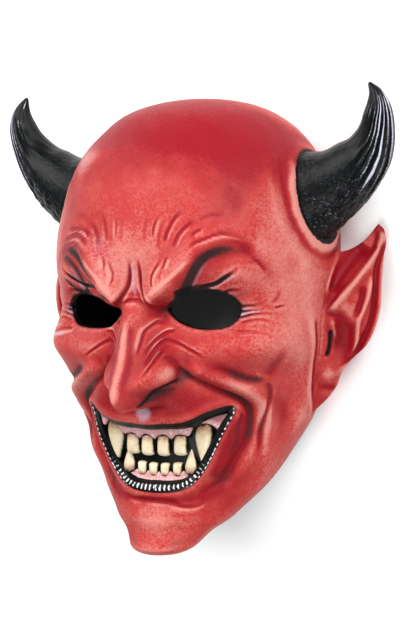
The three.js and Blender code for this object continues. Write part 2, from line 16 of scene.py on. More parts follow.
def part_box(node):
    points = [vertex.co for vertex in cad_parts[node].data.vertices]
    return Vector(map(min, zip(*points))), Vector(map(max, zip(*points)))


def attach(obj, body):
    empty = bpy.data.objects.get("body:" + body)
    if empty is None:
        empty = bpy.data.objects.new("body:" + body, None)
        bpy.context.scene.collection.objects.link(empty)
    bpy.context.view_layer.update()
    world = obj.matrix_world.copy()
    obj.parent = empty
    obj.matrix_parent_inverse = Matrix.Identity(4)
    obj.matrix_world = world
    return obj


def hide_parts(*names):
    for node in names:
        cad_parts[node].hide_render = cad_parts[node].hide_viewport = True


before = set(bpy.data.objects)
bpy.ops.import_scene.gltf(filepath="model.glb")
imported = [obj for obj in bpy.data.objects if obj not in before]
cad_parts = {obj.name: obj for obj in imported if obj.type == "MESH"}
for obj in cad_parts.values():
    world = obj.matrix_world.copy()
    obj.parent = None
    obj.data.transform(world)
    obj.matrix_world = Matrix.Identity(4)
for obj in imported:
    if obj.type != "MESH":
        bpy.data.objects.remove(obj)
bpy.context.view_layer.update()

NODE = "mask"
BODY = "root"
MM = 0.001
cad_low, cad_high = (np.array(corner, float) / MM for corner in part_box(NODE))
print("CAD box, mm:", cad_low.round(1), cad_high.round(1))

# %% [markdown]
# Shapes are worked out in millimetres in the face's own axes: x to the mask's left ear, y towards
# the crown, z out of the face, from a point midway between the eye holes. The horn tips are the
# highest thing along y and the rim is the lowest along z, so those two place the face in the frame.

# %% The face's own axes
HORN_TOP = 135.7
RIM_DEPTH = -98.0
ORIGIN = np.array([0.0, cad_high[1] - HORN_TOP, cad_low[2] - RIM_DEPTH])


def in_frame(points):
    """Face millimetres moved to the shared frame, in metres: (p + ORIGIN) / 1000."""
    return (np.asarray(points, float) + ORIGIN) * MM


print("face origin in the frame, mm:", ORIGIN.round(2))

# %% [markdown]
# The photograph looks at the mask's left half, 29 degrees round from straight on. The camera keeps
# that angle to the face, so it looks down on the lying mask. It is set before anything is modelled,
# because every proportion is judged through it.

# %% The camera
VIEW_TURN = math.radians(29.0)
VIEW_LIFT = math.radians(1.3)
VIEW_DISTANCE = 1300.0
PICTURE_HEIGHT = 384.0
AIM = (30.0, -5.4)
SENSOR = 36.0

toward = np.array([
    math.sin(VIEW_TURN) * math.cos(VIEW_LIFT),
    math.sin(VIEW_LIFT),
    math.cos(VIEW_TURN) * math.cos(VIEW_LIFT),
])
rightward = np.array([math.cos(VIEW_TURN), 0.0, -math.sin(VIEW_TURN)])
upward = np.cross(toward, rightward)


def add_camera():
    """A long lens on the view's axis, aimed beside the eye line so the mask fills the frame."""
    data = bpy.data.cameras.new("camera")
    data.sensor_fit = "AUTO"
    data.sensor_width = SENSOR
    data.lens = SENSOR * VIEW_DISTANCE / PICTURE_HEIGHT
    camera = bpy.data.objects.new("camera", data)
    place = toward * VIEW_DISTANCE + rightward * AIM[0] + upward * AIM[1]
    turn = Matrix(np.stack([rightward, upward, toward], axis=1).tolist()).to_4x4()
    camera.matrix_world = Matrix.Translation(Vector(in_frame(place))) @ turn
    bpy.context.scene.collection.objects.link(camera)
    bpy.context.scene.camera = camera
    return camera


camera = add_camera()
print("camera at, m:", [round(v, 3) for v in camera.location])

# %% [markdown]
# A modelled face is a smooth form with folds drawn over it. So there are three kinds of helper:
# smooth curves through a few measured values, mounds, and strokes, which carry a ridge or groove
# along a drawn path. All of them work on whole grids of points at once.

# %% Curves, mounds and strokes


def step(a, b, x):
    """0 up to a, 1 from b on, and 3t^2 - 2t^3 between them."""
    t = np.clip((x - a) / (b - a), 0.0, 1.0)
    return t * t * (3.0 - 2.0 * t)


def bell(x, width):
    """exp(-(x / width)^2): a soft ridge one width to each side."""
    return np.exp(-((x / width) ** 2))


def curve(xs, ys, x):
    """A cubic through the values ys at xs, with slopes taken from the neighbours."""
    xs = np.asarray(xs, float)
    ys = np.asarray(ys, float)
    slope = np.gradient(ys, xs)
    i = np.clip(np.searchsorted(xs, x) - 1, 0, len(xs) - 2)
    h = xs[i + 1] - xs[i]
    t = np.clip((x - xs[i]) / h, 0.0, 1.0)
    rise = (3 * t**2 - 2 * t**3) * (ys[i + 1] - ys[i]) + ys[i]
    return rise + h * ((t**3 - 2 * t**2 + t) * slope[i] + (t**3 - t**2) * slope[i + 1])


def through(points, parts=6, closed=False):
    """A fine line through the drawn points, each coordinate a cubic of the point's number."""
    p = np.asarray(points, float)
    if closed:
        p = np.vstack([p[-2:], p, p[:2]])
    numbers = np.arange(len(p))
    first, last = (2, len(p) - 2) if closed else (0, len(p) - 1)
    at = np.linspace(first, last, (last - first) * parts + 1)
    return np.stack([curve(numbers, p[:, k], at) for k in range(p.shape[1])], axis=-1)


def nearest(line, x, y):
    """Signed distance to a line of straight bits, positive on its left, the millimetres run
    along it to the nearest point, and that point. The bits are few, so only they are looped."""
    best = np.full(x.shape, 1e9)
    side = np.ones(x.shape)
    along = np.zeros(x.shape)
    near_x = np.zeros(x.shape)
    near_y = np.zeros(x.shape)
    run = 0.0
    for (ax, ay), (bx, by) in zip(line[:-1], line[1:]):
        dx, dy = bx - ax, by - ay
        length = math.hypot(dx, dy)
        t = np.clip(((x - ax) * dx + (y - ay) * dy) / length**2, 0.0, 1.0)
        px, py = ax + t * dx, ay + t * dy
        distance = np.hypot(x - px, y - py)
        closer = distance < best
        best = np.where(closer, distance, best)
        side = np.where(closer, np.where(dx * (y - ay) >= dy * (x - ax), 1.0, -1.0), side)
        along = np.where(closer, run + t * length, along)
        near_x = np.where(closer, px, near_x)
        near_y = np.where(closer, py, near_y)
        run += length
    return best * side, along, run, near_x, near_y


def depth_inside(outline, x, y):
    """Distance to a closed outline, positive inside it, by counting crossings to the right."""
    distance, along, run, near_x, near_y = nearest(outline, x, y)
    crossings = np.zeros(x.shape, int)
    for (ax, ay), (bx, by) in zip(outline[:-1], outline[1:]):
        if ay != by:
            crosses = ((ay > y) != (by > y)) & (x < ax + (y - ay) / (by - ay) * (bx - ax))
            crossings += crosses
    return np.where(crossings % 2 == 1, 1.0, -1.0) * np.abs(distance), along, near_x, near_y


def stroke(path, x, y, width, fade=(0.15, 0.15)):
    """A bell across the path, faded in and out over shares of its length. The width is one
    number, or one for the path's left and one for its right. The top is 1, so a caller
    multiplies it by a height or by a strength of paint."""
    distance, along, run, _, _ = nearest(through(path), x, y)
    left, right = width if isinstance(width, tuple) else (width, width)
    start = step(0.0, fade[0], along / run) if fade[0] else 1.0
    end = step(1.0, 1.0 - fade[1], along / run) if fade[1] else 1.0
    return bell(distance, np.where(distance > 0, left, right)) * start * end


def mound(at, x, y, size, turn=0.0, power=2.0):
    """exp(-r^power), r being the distance from the middle in shares of the reach each way."""
    angle = math.radians(turn)
    dx, dy = x - at[0], y - at[1]
    u = (dx * math.cos(angle) + dy * math.sin(angle)) / size[0]
    v = (dy * math.cos(angle) - dx * math.sin(angle)) / size[1]
    return np.exp(-((u * u + v * v) ** (power / 2.0)))


def drawn(x, y, rows):
    """The sum of many strokes and mounds. A row is a height or a strength of paint, and then
    what a stroke or a mound takes: a list of points is a stroke's path, one point is where a
    mound stands."""
    return sum(
        height * (stroke if isinstance(where, list) else mound)(where, x, y, *rest)
        for height, where, *rest in rows
    )


def aside(path, across, up):
    """The same path a little to one side."""
    return [(a + across, b + up) for a, b in path]


def ripple(x, y, z, seed, size):
    """Smooth seeded wander between about -1 and 1: a sum of a dozen sine waves whose
    wavelengths lie round the given size."""
    random = np.random.default_rng(seed)
    total = np.zeros(np.broadcast(x, y, z).shape)
    waves = 12
    for _ in range(waves):
        way = random.normal(size=3)
        way *= 2 * math.pi / (np.linalg.norm(way) * size * random.uniform(0.6, 1.6))
        total += np.sin(way[0] * x + way[1] * y + way[2] * z + random.uniform(0, 2 * math.pi))
    return total / math.sqrt(waves / 2) / 2


def neighbours(field, axis, reach):
    """The field's copies moved by up to some lines each way along an axis, edges repeated."""
    pad = [(reach, reach) if k == axis else (0, 0) for k in range(field.ndim)]
    padded = np.pad(field, pad, mode="edge")
    count = field.shape[axis]
    return [np.take(padded, range(k, k + count), axis) for k in range(2 * reach + 1)]


def blurred(field, times):
    """The field averaged with its neighbours (1, 2, 1) along both ways of the grid, repeatedly."""
    for _ in range(times):
        for axis in (0, 1):
            low, here, high = neighbours(field, axis, 1)
            field = 0.5 * here + 0.25 * (low + high)
    return field


def lowest(field, reach):
    """The smallest value within some lines each way."""
    for axis in (0, 1):
        field = np.minimum.reduce(neighbours(field, axis, reach))
    return field


# %% [markdown]
# Every piece becomes a mesh the same way: points from numpy, faces as index arrays, and named
# values per point that the paint reads later. The object stays at the origin with its place in its
# mesh. Horns, ears and teeth are made once, and their mirror images need their faces turned round.

# %% From arrays to meshes


def grid_faces(rows, columns, wrap=False):
    """Quads of a grid of points numbered row by row; wrap joins the last column to the first."""
    number = np.arange(rows * columns).reshape(rows, columns)
    if wrap:
        number = np.hstack([number, number[:, :1]])
    corners = [number[:-1, :-1], number[:-1, 1:], number[1:, 1:], number[1:, :-1]]
    return np.stack(corners, axis=-1).reshape(-1, 4)


def turned_round(faces):
    """Each face's corners in the other order, so that it looks the other way."""
    return [block[:, ::-1] for block in faces]


def mirrored(points, faces):
    """The same shape on the mask's other half: (x, y, z) goes to (-x, y, z)."""
    return points * (-1, 1, 1), turned_round(faces)


def enclosed(points, faces):
    """The volume the faces enclose, from the middle of the points: a sum of a . (b x c) / 6 over
    the triangles. It is positive when they face outwards."""
    corners = points - points.mean(0)
    total = 0.0
    for block in faces:
        for k in range(1, block.shape[1] - 1):
            a, b, c = corners[block[:, 0]], corners[block[:, k]], corners[block[:, k + 1]]
            total += np.sum(np.cross(a, b) * c) / 6
    return total


def closed_tube(rings, start, end):
    """Rings of points wrapped round, with a fan of triangles to one point at each end."""
    count, sides = rings.shape[:2]
    first = np.arange(sides)
    last = first + (count - 1) * sides
    points = np.vstack([rings.reshape(-1, 3), start, end])
    faces = [
        grid_faces(count, sides, wrap=True),
        np.stack([np.roll(first, -1), first, np.full(sides, count * sides)], axis=-1),
        np.stack([last, np.roll(last, -1), np.full(sides, count * sides + 1)], axis=-1),
    ]
    return points, faces if enclosed(points, faces) > 0 else turned_round(faces)


def add_mesh(name, points, faces, values=None):
    """Points in face millimetres and a list of face arrays, with named values per point."""
    mesh = bpy.data.meshes.new(name)
    lists = [face for block in faces for face in np.asarray(block).tolist()]
    mesh.from_pydata(in_frame(points).tolist(), [], lists)
    for key, value in (values or {}).items():
        layer = mesh.attributes.new(key, "FLOAT", "POINT")
        layer.data.foreach_set("value", np.ascontiguousarray(value, np.float32).ravel())
    mesh.shade_smooth()
    mesh.update()
    piece = bpy.data.objects.new(name, mesh)
    bpy.context.scene.collection.objects.link(piece)
    return piece


def settle(piece):
    """Every piece rides on the one body and hides the one CAD node that it stands for."""
    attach(piece, BODY)
    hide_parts(NODE)
    triangles = sum(len(face.vertices) - 2 for face in piece.data.polygons)
    print(f"{piece.name}: {triangles} triangles")


# %% [markdown]
# Shader sums are easier to read as sums. One small class wraps a socket and turns +, - and * into
# Math nodes, and one method makes any other node from its type, its settings and its inputs.

# %% Shader sums


class Value:
    """A number that varies over the surface. Python's operators on it add Math nodes."""

    def __init__(self, paint, socket):
        self.paint = paint
        self.socket = socket

    def __add__(self, other):
        return self.paint.math("ADD", self, other)

    def __sub__(self, other):
        return self.paint.math("SUBTRACT", self, other)

    def __mul__(self, other):
        return self.paint.math("MULTIPLY", self, other)

    def __rsub__(self, other):
        return self.paint.math("SUBTRACT", other, self)

    __radd__ = __add__
    __rmul__ = __mul__

    def held(self):
        """Held between 0 and 1."""
        return self.paint.math("ADD", self, 0.0, clamp=True)


class Paint:
    """A material's node tree, built from expressions."""

    def __init__(self, name):
        self.material = bpy.data.materials.new(name)
        self.material.use_nodes = True
        self.tree = self.material.node_tree
        self.shader = self.tree.nodes["Principled BSDF"]
        self.here = self.node("ShaderNodeTexCoord", {}, {}, "Object")

    def node(self, kind, settings, inputs, output=0):
        """Adds a node, sets its settings, then joins or fills its inputs. Gives one output."""
        made = self.tree.nodes.new(kind)
        for key, value in settings.items():
            setattr(made, key, value)
        for key, value in inputs.items():
            self.feed(made.inputs[key], value)
        return Value(self, made.outputs[output])

    def feed(self, socket, value):
        """Joins a socket to a value, or sets it to a number or to a colour of three shares."""
        if isinstance(value, Value):
            self.tree.links.new(value.socket, socket)
        else:
            socket.default_value = (*value, 1.0) if isinstance(value, tuple) else value

    def math(self, operation, *terms, clamp=False):
        """One Math node, on values or plain numbers."""
        settings = {"operation": operation, "use_clamp": clamp}
        return self.node("ShaderNodeMath", settings, dict(enumerate(terms)))

    def field(self, name):
        """A value stored on the mesh's points."""
        return self.node("ShaderNodeAttribute", {"attribute_name": name}, {}, "Fac")

    def noise(self, size_mm, detail, rough):
        """Cloudy noise from 0 to 1 whose blobs are about the given size."""
        scale = 1.0 / (size_mm * MM)
        inputs = {"Vector": self.here, "Scale": scale, "Detail": detail, "Roughness": rough}
        return self.node("ShaderNodeTexNoise", {}, inputs, "Fac")

    def smooth(self, value, low, high):
        """0 below low, 1 above high, smooth between."""
        settings = {"interpolation_type": "SMOOTHSTEP"}
        inputs = {"Value": value, "From Min": low, "From Max": high}
        return self.node("ShaderNodeMapRange", settings, inputs, "Result")

    def mix(self, share, first, second):
        """Two colours mixed by a share; a colour is a tuple of three or another mix."""
        settings = {"data_type": "RGBA", "clamp_factor": True}
        return self.node("ShaderNodeMix", settings, {0: share, 6: first, 7: second}, 2)

    def bump(self, height, distance_mm, strength, **under):
        """Relief from a height, laid over the relief under it if there is one."""
        inputs = {"Height": height, "Distance": distance_mm * MM, "Strength": strength, **under}
        return self.node("ShaderNodeBump", {}, inputs)

    def coat(self, pieces, **sockets):
        """Feeds the shader's sockets by their names, with _ for a space, and paints the pieces."""
        for key, value in sockets.items():
            self.feed(self.shader.inputs[key.replace("_", " ")], value)
        for piece in pieces:
            piece.data.materials.append(self.material)


# %% [markdown]
# ## The bare head
# Without its features the head is an egg cut open behind. Fourteen cross-sections, each half an
# ellipse in front and half an ellipse behind, say how wide and deep it is at each height. A square
# grid is wrapped over it from the middle of the face to the rim, with its lines packed where the
# detail is: a square patch has no pole, so nothing pinches at the crown or the chin.

# %% The egg
HEAD_MIDDLE, HEAD_HALF_HEIGHT = -8.25, 139.75
SECTION_HEIGHT = [-148, -140, -125, -106, -82, -62, -30, 0, 30, 60, 90, 112, 124, 131.5]
HALF_WIDTH = [0, 22.5, 35, 51, 63, 72, 80, 85, 88, 87, 80, 62, 43, 0]
FRONT_DEPTH = [0, -6, -6.5, -7.5, -2, 5, 12, 18, 22, 18, 7, -10, -27, 0]
WIDEST_DEPTH = [-10, -15, -27, -40, -50, -58, -65, -66, -66, -66, -66, -66, -66, -66]
CHIN_POLE, CROWN_POLE = (90, 60), (142, 122)
BACK_DEPTH = 80.0
CHIN_RIM_COSINE = -0.1
RIM_LEAVES_GROUND, RIM_AT_CHIN = -0.3, -0.75
RIM_HEIGHT_SHARE = 0.917
WALL = 3.0
COLUMNS, ROWS = 301, 306
CLOSEST_ACROSS, CLOSEST_UP = (0.0, 0.5), (-0.155, 0.45)
TURNS_AWAY, FACES_FORWARD = -0.05, 0.25

share = (np.array(SECTION_HEIGHT) - HEAD_MIDDLE) / HEAD_HALF_HEIGHT
roundness = np.sqrt(np.maximum(1 - share**2, 1e-9))
width = np.array(HALF_WIDTH) / roundness
depth = (np.array(FRONT_DEPTH) - np.array(WIDEST_DEPTH)) / roundness
width[[0, -1]] = CHIN_POLE[0], CROWN_POLE[0]
depth[[0, -1]] = CHIN_POLE[1], CROWN_POLE[1]


def egg(ball):
    """A direction (a, b, c) on the unit ball goes to (W(b) a, middle + half height * b,
    Z(b) + D c), where D is the front depth D(b) ahead of the widest place and fixed behind."""
    b = ball[..., 1]
    ahead = np.where(ball[..., 2] > 0, curve(share, depth, b), BACK_DEPTH)
    return np.stack([
        curve(share, width, b) * ball[..., 0],
        HEAD_MIDDLE + HEAD_HALF_HEIGHT * b,
        curve(share, WIDEST_DEPTH, b) + ahead * ball[..., 2],
    ], axis=-1)


def side_of(y, z):
    """How far out the egg's side is at a height and depth."""
    b = (y - HEAD_MIDDLE) / HEAD_HALF_HEIGHT
    widest = curve(share, WIDEST_DEPTH, b)
    out = (z - widest) / np.where(z > widest, curve(share, depth, b), BACK_DEPTH)
    return curve(share, width, b) * np.sqrt(np.maximum(1 - b * b - out * out, 0.0))


def ball_direction(s, t):
    """The square (s, t) squeezed to a disc, whose radius becomes the angle from straight ahead.
    The edge of the square reaches the rim: on the ground round the crown, forward at the jaw."""
    a = s * np.sqrt(1 - t * t / 2)
    b = t * np.sqrt(1 - s * s / 2)
    turn = np.arctan2(b, a)
    low = step(RIM_LEAVES_GROUND, RIM_AT_CHIN, np.sin(turn))
    widest = curve(share, WIDEST_DEPTH, np.sin(turn) * RIM_HEIGHT_SHARE)
    cosine = (RIM_DEPTH - widest) / BACK_DEPTH * (1 - low) + CHIN_RIM_COSINE * low
    bend = np.arccos(cosine) * np.hypot(a, b)
    flat = np.sin(bend)
    return np.stack([flat * np.cos(turn), flat * np.sin(turn), np.cos(bend)], axis=-1)


def packed(count, middle, closeness):
    """Lines from -1 to 1, closest at the middle: m (1 - w^4) + c w + (1 - c) w^5."""
    w = np.linspace(-1, 1, count)
    return middle * (1 - w**4) + closeness * w + (1 - closeness) * w**5


def normals_of(points):
    """Unit cross product of the grid's two directions."""
    n = np.cross(np.gradient(points, axis=1), np.gradient(points, axis=0))
    return n / np.maximum(np.linalg.norm(n, axis=-1, keepdims=True), 1e-9)


ball = ball_direction(*np.meshgrid(packed(COLUMNS, *CLOSEST_ACROSS), packed(ROWS, *CLOSEST_UP)))
bare = egg(ball)
outward = normals_of(bare)
facing = step(TURNS_AWAY, FACES_FORWARD, ball[..., 2])
x, y, z = np.moveaxis(bare, -1, 0)
print("line spacing by the nose, mm:", np.diff(x[ROWS // 2, COLUMNS // 2:])[0].round(2))

# %% [markdown]
# ## The features
# The mask is the same on both halves, so features are drawn once, as points across and up on the
# left half, and read through the distance from the middle line. A little seeded wander bends the
# two halves apart, as hand modelling does. First come the big forms. They are listed in rows, each
# with its height in millimetres and then a path with its width, or a place with its reach each way.

# %% Big forms
EYE_HOLE = [
    (17.6, -1), (20, 2), (24, 5.6), (28, 8.8), (33, 11), (39.8, 12), (47, 12), (53, 10.4),
    (57.2, 7.4), (59.2, 3.4), (59.2, -1), (57.4, -5), (54.2, -8.2), (49.3, -10.2),
    (42.3, -10.9), (35, -10.4), (28, -8.2), (22, -4.6),
]
FAR_EYE_HOLE = [
    (17, -2.6), (19.6, -0.6), (22.6, 1.1), (26.2, 2.9), (33.5, 5.9), (42, 7.8), (50.5, 9),
    (56, 9), (59.4, 6.6), (60.6, 2.4), (58.9, -3.4), (55, -7.8), (50, -9.8), (40.8, -10.9),
    (30, -11), (21.6, -9.9), (18.4, -7.6), (16.8, -5.2),
]
BROW = [
    (9, 3), (14, 9), (21, 15), (27, 20), (34, 28), (39, 35), (45, 39.5), (52, 41),
    (60, 40), (67, 34), (71, 27), (72, 17),
]
FROWN = [(10.5, 4.5), (7.4, 9), (4.6, 14.5), (3.6, 21), (3.2, 28), (3.6, 34)]
CHEEK_CREASE = [(40, -31), (47, -34), (53, -37.2), (59, -40), (63, -40.6), (66, -38)]
CHEEK_SIDE = [(65.5, -38.5), (67, -34.5), (68.4, -29.6), (69.9, -22.6), (71.7, -16)]
SMILE_ROLL = [
    (28, -30), (34, -34), (41, -38.5), (49, -43), (56, -48), (62, -56), (63, -68), (60, -80),
    (54, -92), (46, -103),
]
SMILE_GROOVE = [
    (23.5, -31), (26, -34.5), (30, -38), (36, -41.5), (42, -45), (48, -48.5), (53, -52),
    (56.5, -57.5), (57, -64), (55.5, -72), (51, -82), (46, -92), (40, -101), (33, -107),
    (24, -111),
]
NOSTRIL_CREASE = [(14, -26), (19, -26.5), (23, -30), (24.5, -35), (22, -41), (16, -43)]
CHIN_FOLD = [(0, -113.5), (8, -115), (15, -118)]

wander = ripple(x, y, z, 11, 34)
ax = np.abs(x) + 0.7 * wander * np.sign(x)
brow_x = ax + 3.0 * step(-5, -24, x)
y_drawn = y + 0.7 * ripple(x, y, z, 12, 30)
far_side = step(0, -12, x)
swell = drawn(ax, y, [
    (-7.5, (42, 2), (27, 19), 0, 3),  # the socket
    (-8.5, (17, 0.5), (6.5, 6.5)),
    (3.0, (63, 2), (8, 12)),
    (3.5, (12, 4), (7, 6)),  # the brow's inner end
    (4.5, (21, 11), (9, 6.5), 35),
    (3.5, (60, 22), (12, 10), -30),  # the lid
    (-3.0, (0, 16), (9, 17)),
    (-2.8, FROWN, 1.35, (0.05, 0.5)),
    (7.0, (49, -22), (22, 14), -12, 2.6),  # the cheek
    (5.5, (70, -14), (14, 16)),
    (4.5, (68, -17), (13, 14)),
    (-2.6, CHEEK_CREASE, (3.4, 4.0), (0.35, 0.3)),
    (-0.8, CHEEK_SIDE, 2.4, (0.2, 0.5)),
    (5.2, SMILE_ROLL, (5.0, 7.0), (0.1, 0.35)),
    (-4.0, SMILE_GROOVE, (2.6, 3.2), (0.08, 0.25)),
    (3.5, (61, -42), (9, 8)),
    (-3.0, (63, -74), (9, 12)),
    (-4.0, (74, -62), (14, 26), 20),
    (2.0, (22, -56), (20, 10)),
    (-2.6, NOSTRIL_CREASE, 1.8, (0.4, 0.3)),
])
swell += (7.0 - 3.4 * step(-28, -46, x)) * stroke(BROW, brow_x, y, (9.5, 5.5), (0.06, 0.75))
swell += drawn(x, y, [(2.4, (-58, -46), (16, 16)), (2.6, (-75, -33), (12, 5))])
forward = drawn(ax, y, [(-1.6, CHIN_FOLD, 3.6, (0, 0.5)), (-7.0, (49, -58), (10, 13))])
forward += drawn(x, y, [(4.5, (0, -132), (17, 13)), (3.0, (0, -139), (18, 12))])
print("swell, mm:", swell.min().round(1), "to", swell.max().round(1))

# %% [markdown]
# The nose is a ridge along the middle line with its own height and width at each height, carried
# forward, and its tip droops because every millimetre forward also moves it down a little. The
# wings are mounds cut off below, where the nostrils tuck under.

# %% The nose
NOSE_HEIGHT_AT = [-57, -55, -52.5, -49, -45, -41, -33, -22, -14, -5.5, 4, 10]
NOSE_HEIGHT = [0, 12, 24, 30, 33, 33.5, 29, 21, 16.5, 12, 3.5, 0]
NOSE_WIDTH_AT = [-57, -50, -41, -30, -20, -8, 4, 10]
NOSE_WIDTH = [7.5, 9, 12, 13, 11.5, 9, 8, 8]
NOSE_ROUNDNESS = 1.9
NOSE_DROOP = 0.28
WING_HEIGHT = 10.0

on_nose = np.clip(y, NOSE_HEIGHT_AT[0], NOSE_HEIGHT_AT[-1])
off_middle = np.abs(ax / curve(NOSE_WIDTH_AT, NOSE_WIDTH, on_nose))
nose = curve(NOSE_HEIGHT_AT, NOSE_HEIGHT, on_nose) * np.exp(-(off_middle**NOSE_ROUNDNESS))
wing = mound((15.6, -36), ax, y, (7.5, 7.5), power=2.6) * step(-47, -43.5, y)
nose += WING_HEIGHT * wing
forward += nose
print("nose stands out by, mm:", nose.max().round(1))

# %% [markdown]
# The fine lines are what make the face snarl. Each is a narrow groove with a low roll beside it:
# wrinkles that climb from the brow and fainter ones above them, two long arcs over the right brow,
# a fold along the eyelid, crow's feet fanning from the outer corner, folds across the side of the
# nose, creases down the cheek and the crease over the chin. On the right half they are softer.

# %% Fine lines
WRINKLES = [
    # how strong it is, how wide in mm, and its path
    (0.8, 0.7, [(13.8, 43.8), (13.6, 48.1), (14.3, 52.5), (15.9, 57)]),
    (0.8, 1.1, [(21.2, 40.3), (21.9, 44.8), (23.1, 49), (25.5, 54.8), (30.2, 60.6)]),
    (1.1, 0.9, [(26.6, 37.7), (28, 41.6), (29.5, 46.1), (32.9, 51), (37.1, 54)]),
    (0.9, 0.8, [(35.2, 45), (37.7, 47.5), (41.4, 49.9)]),
    (1.0, 1.2, [(34.5, 37.1), (37.4, 40.7), (41.8, 42.8), (46.8, 44.8), (52.1, 45.2),
                (56.6, 44.2), (61.3, 42.4), (64.1, 39.6)]),
    (0.4, 1.2, [(43.6, 46.7), (48.7, 47.2), (54.9, 47.4), (59.6, 46.2)]),
    (1.1, 0.6, [(20.1, 24.8), (21.7, 29.4), (23.3, 32.9)]),
    (1.1, 0.8, [(15.8, 15.4), (13.7, 17.5), (13.6, 21.7), (16.1, 26.1), (18.9, 30.1)]),
    (0.4, 0.7, [(19.7, 24), (18.9, 20.8), (20.2, 18.6)]),
    (0.7, 0.7, [(64.5, 32.1), (66.8, 29.8), (68.6, 26.6), (69.8, 23.1)]),
    (0.3, 0.9, [(71.7, 5.3), (74.3, 10.2), (75, 15.5)]),
    (0.35, 1.3, [(17.6, 36), (17.4, 43), (18.8, 51), (22, 58)]),
    (0.35, 1.3, [(9, 40), (8.4, 48), (9.6, 58)]),
    (0.35, 1.2, [(38, 54), (45, 57), (54, 57)]),
]
BROW_WRINKLE, STEEP_WRINKLE, LONG_WRINKLE = (WRINKLES[k][2] for k in (1, 2, 4))
LID_LINE = [
    (27, 10.8), (33, 12.6), (39, 13.6), (44, 14.4), (49, 16), (53, 19.4), (57, 23.5), (60, 28),
]
LID_FOLDS = [LID_LINE[2:], [(53.5, 11.4), (57, 12.4), (61.5, 13)]]
CROWS_FEET = [
    [(60.2, 3.8), (64.6, 4.6), (68.8, 6)],
    [(59.4, 0.4), (63.3, 1.7), (66.8, 2.5)],
    [(57.9, -3.1), (63, -0.7), (69, -0.2), (73.8, -1.3)],
    [(57, -6.6), (61.7, -4.3), (65.6, -3.8), (69.1, -5.3), (70.6, -8.2)],
    [(54.5, -10.7), (60.7, -10.5), (65, -11.5), (69, -14.5)],
    [(72, 2.9), (74.4, 3.4), (77, 4)],
]
SNARL = [
    [(18.5, -7.4), (13.9, -6.4), (11.4, -7.7), (8.8, -10.5), (8, -15.4), (7.4, -20.2), (7.4, -25)],
    [(25.5, -11.6), (19.8, -12.3), (16.2, -14.4), (13.4, -16.8), (11.2, -20), (10, -24)],
    [(22, -16.4), (17.6, -17.6), (14.6, -20), (12.6, -23.6), (11.6, -27.6), (11, -31.4)],
    [(18, -22.6), (15.6, -25.4), (14, -28.4), (12.8, -31.6), (11.6, -35)],
    [(18, -16.2), (26.1, -19), (31.4, -22.2), (36.9, -25.3), (40.9, -28)],
]
CHEEK_LINE = [
    (65.6, -41.8), (66.8, -46), (66.5, -51.5), (64.4, -57.5), (61.6, -66), (58.3, -76),
    (54.3, -89.7),
]
MOUTH_LINE = [(50.5, -57), (51.8, -62.8), (50, -70.8), (47.8, -80.6), (42.8, -91)]
NOSE_ROOT = [(-8, 4), (-4.5, 6.4), (0, 6.8), (4, 6.4), (7, 4.4), (10, 3)]
CHIN_CREASE = [
    (-26, -111), (-17, -114), (-8, -114.5), (2, -115), (9, -115.4), (18, -117.6), (27, -116.6),
    (34, -110),
]
FAR_ARCS = [
    [(-63.8, 42.5), (-55, 44.4), (-47.4, 44.9), (-38, 44.4), (-28.6, 38.1)],
    [(-59.4, 48.7), (-50, 49.8), (-40.3, 49.2), (-27.6, 43)],
]


def furrow(path, x, y, deep, wide, fade=(0.2, 0.35)):
    """A groove with a low roll on each side: the bell less a lower, broader one."""
    return drawn(x, y, [(-1.25 * deep, path, wide, fade), (0.45 * deep, path, 2.6 * wide, fade)])


def furrows(paths, x, y, *how):
    """The sum of furrows that are cut alike."""
    return sum(furrow(path, x, y, *how) for path in paths)


far_softer = 1 - 0.4 * far_side
far_wider = 1 + 0.7 * far_side
for strong, wide, path in WRINKLES:
    line = furrow(path, brow_x, y_drawn, 0.5 * strong, wide * far_wider, (0.2, 0.45))
    swell += far_softer * line
swell += furrows(FAR_ARCS, x, y, 0.5, 1.3)
swell += furrows(LID_FOLDS, ax, y, 1.3, 1.1)
swell += furrows(CROWS_FEET, ax, y_drawn, 0.9, 0.8, (0.1, 0.7))
swell += furrows(SNARL, ax, y_drawn, 1.3, 0.95, (0.2, 0.4))
swell += furrows([CHEEK_LINE, MOUTH_LINE], ax, y_drawn, 1.2, 1.2)
swell += furrow(NOSE_ROOT, x, y, 1.3, 1.0) + furrow(CHIN_CREASE, x, y, 1.2, 1.5)
swell += 0.25 * ripple(x, y, z, 21, 24)
print("fine lines:", len(WRINKLES + FAR_ARCS + LID_FOLDS + CROWS_FEET + SNARL) + 4)

# %% [markdown]
# The mouth is a closed grin: an outer lip line and an inner one. Between them the lips roll, broad
# and ribbed along the bottom, a mere edge at the sides and top. Inside the inner line the face
# drops to a shallow panel, on which low gums are moulded round the roots of the teeth.

# %% The mouth
MOUTH_OUTER = [
    (0, -110), (9, -109.5), (17, -107.8), (24, -103.8), (30, -96.8), (36, -87), (41.5, -76),
    (46, -65.5), (48.5, -58.5), (47, -55.5), (42, -56.5), (35, -59.5), (28, -63.3), (20, -65.6),
    (10, -66.4), (0, -67.2),
]
MOUTH_INNER = [
    (0, -103.6), (8, -103.6), (16, -102.4), (22, -99), (28, -92), (33.5, -83.2), (38.5, -74.5),
    (43, -66), (45.6, -60.6), (44, -59.8), (38, -61.8), (32, -65), (26, -67.8), (18, -69.2),
    (10, -69.6), (0, -70.2),
]
MOUTH_RECESS, GUM_HEIGHT = 7.0, 3.2
UPPER_ROOTS = (
    [0, 2.5, 5.6, 8.7, 11.2, 13.7, 16.8, 20, 23, 26, 31, 36, 40, 46],
    [-77.5, -75.4, -74.4, -75.2, -77.2, -75, -74, -74.6, -74.6, -70, -67.2, -68, -72, -72],
)
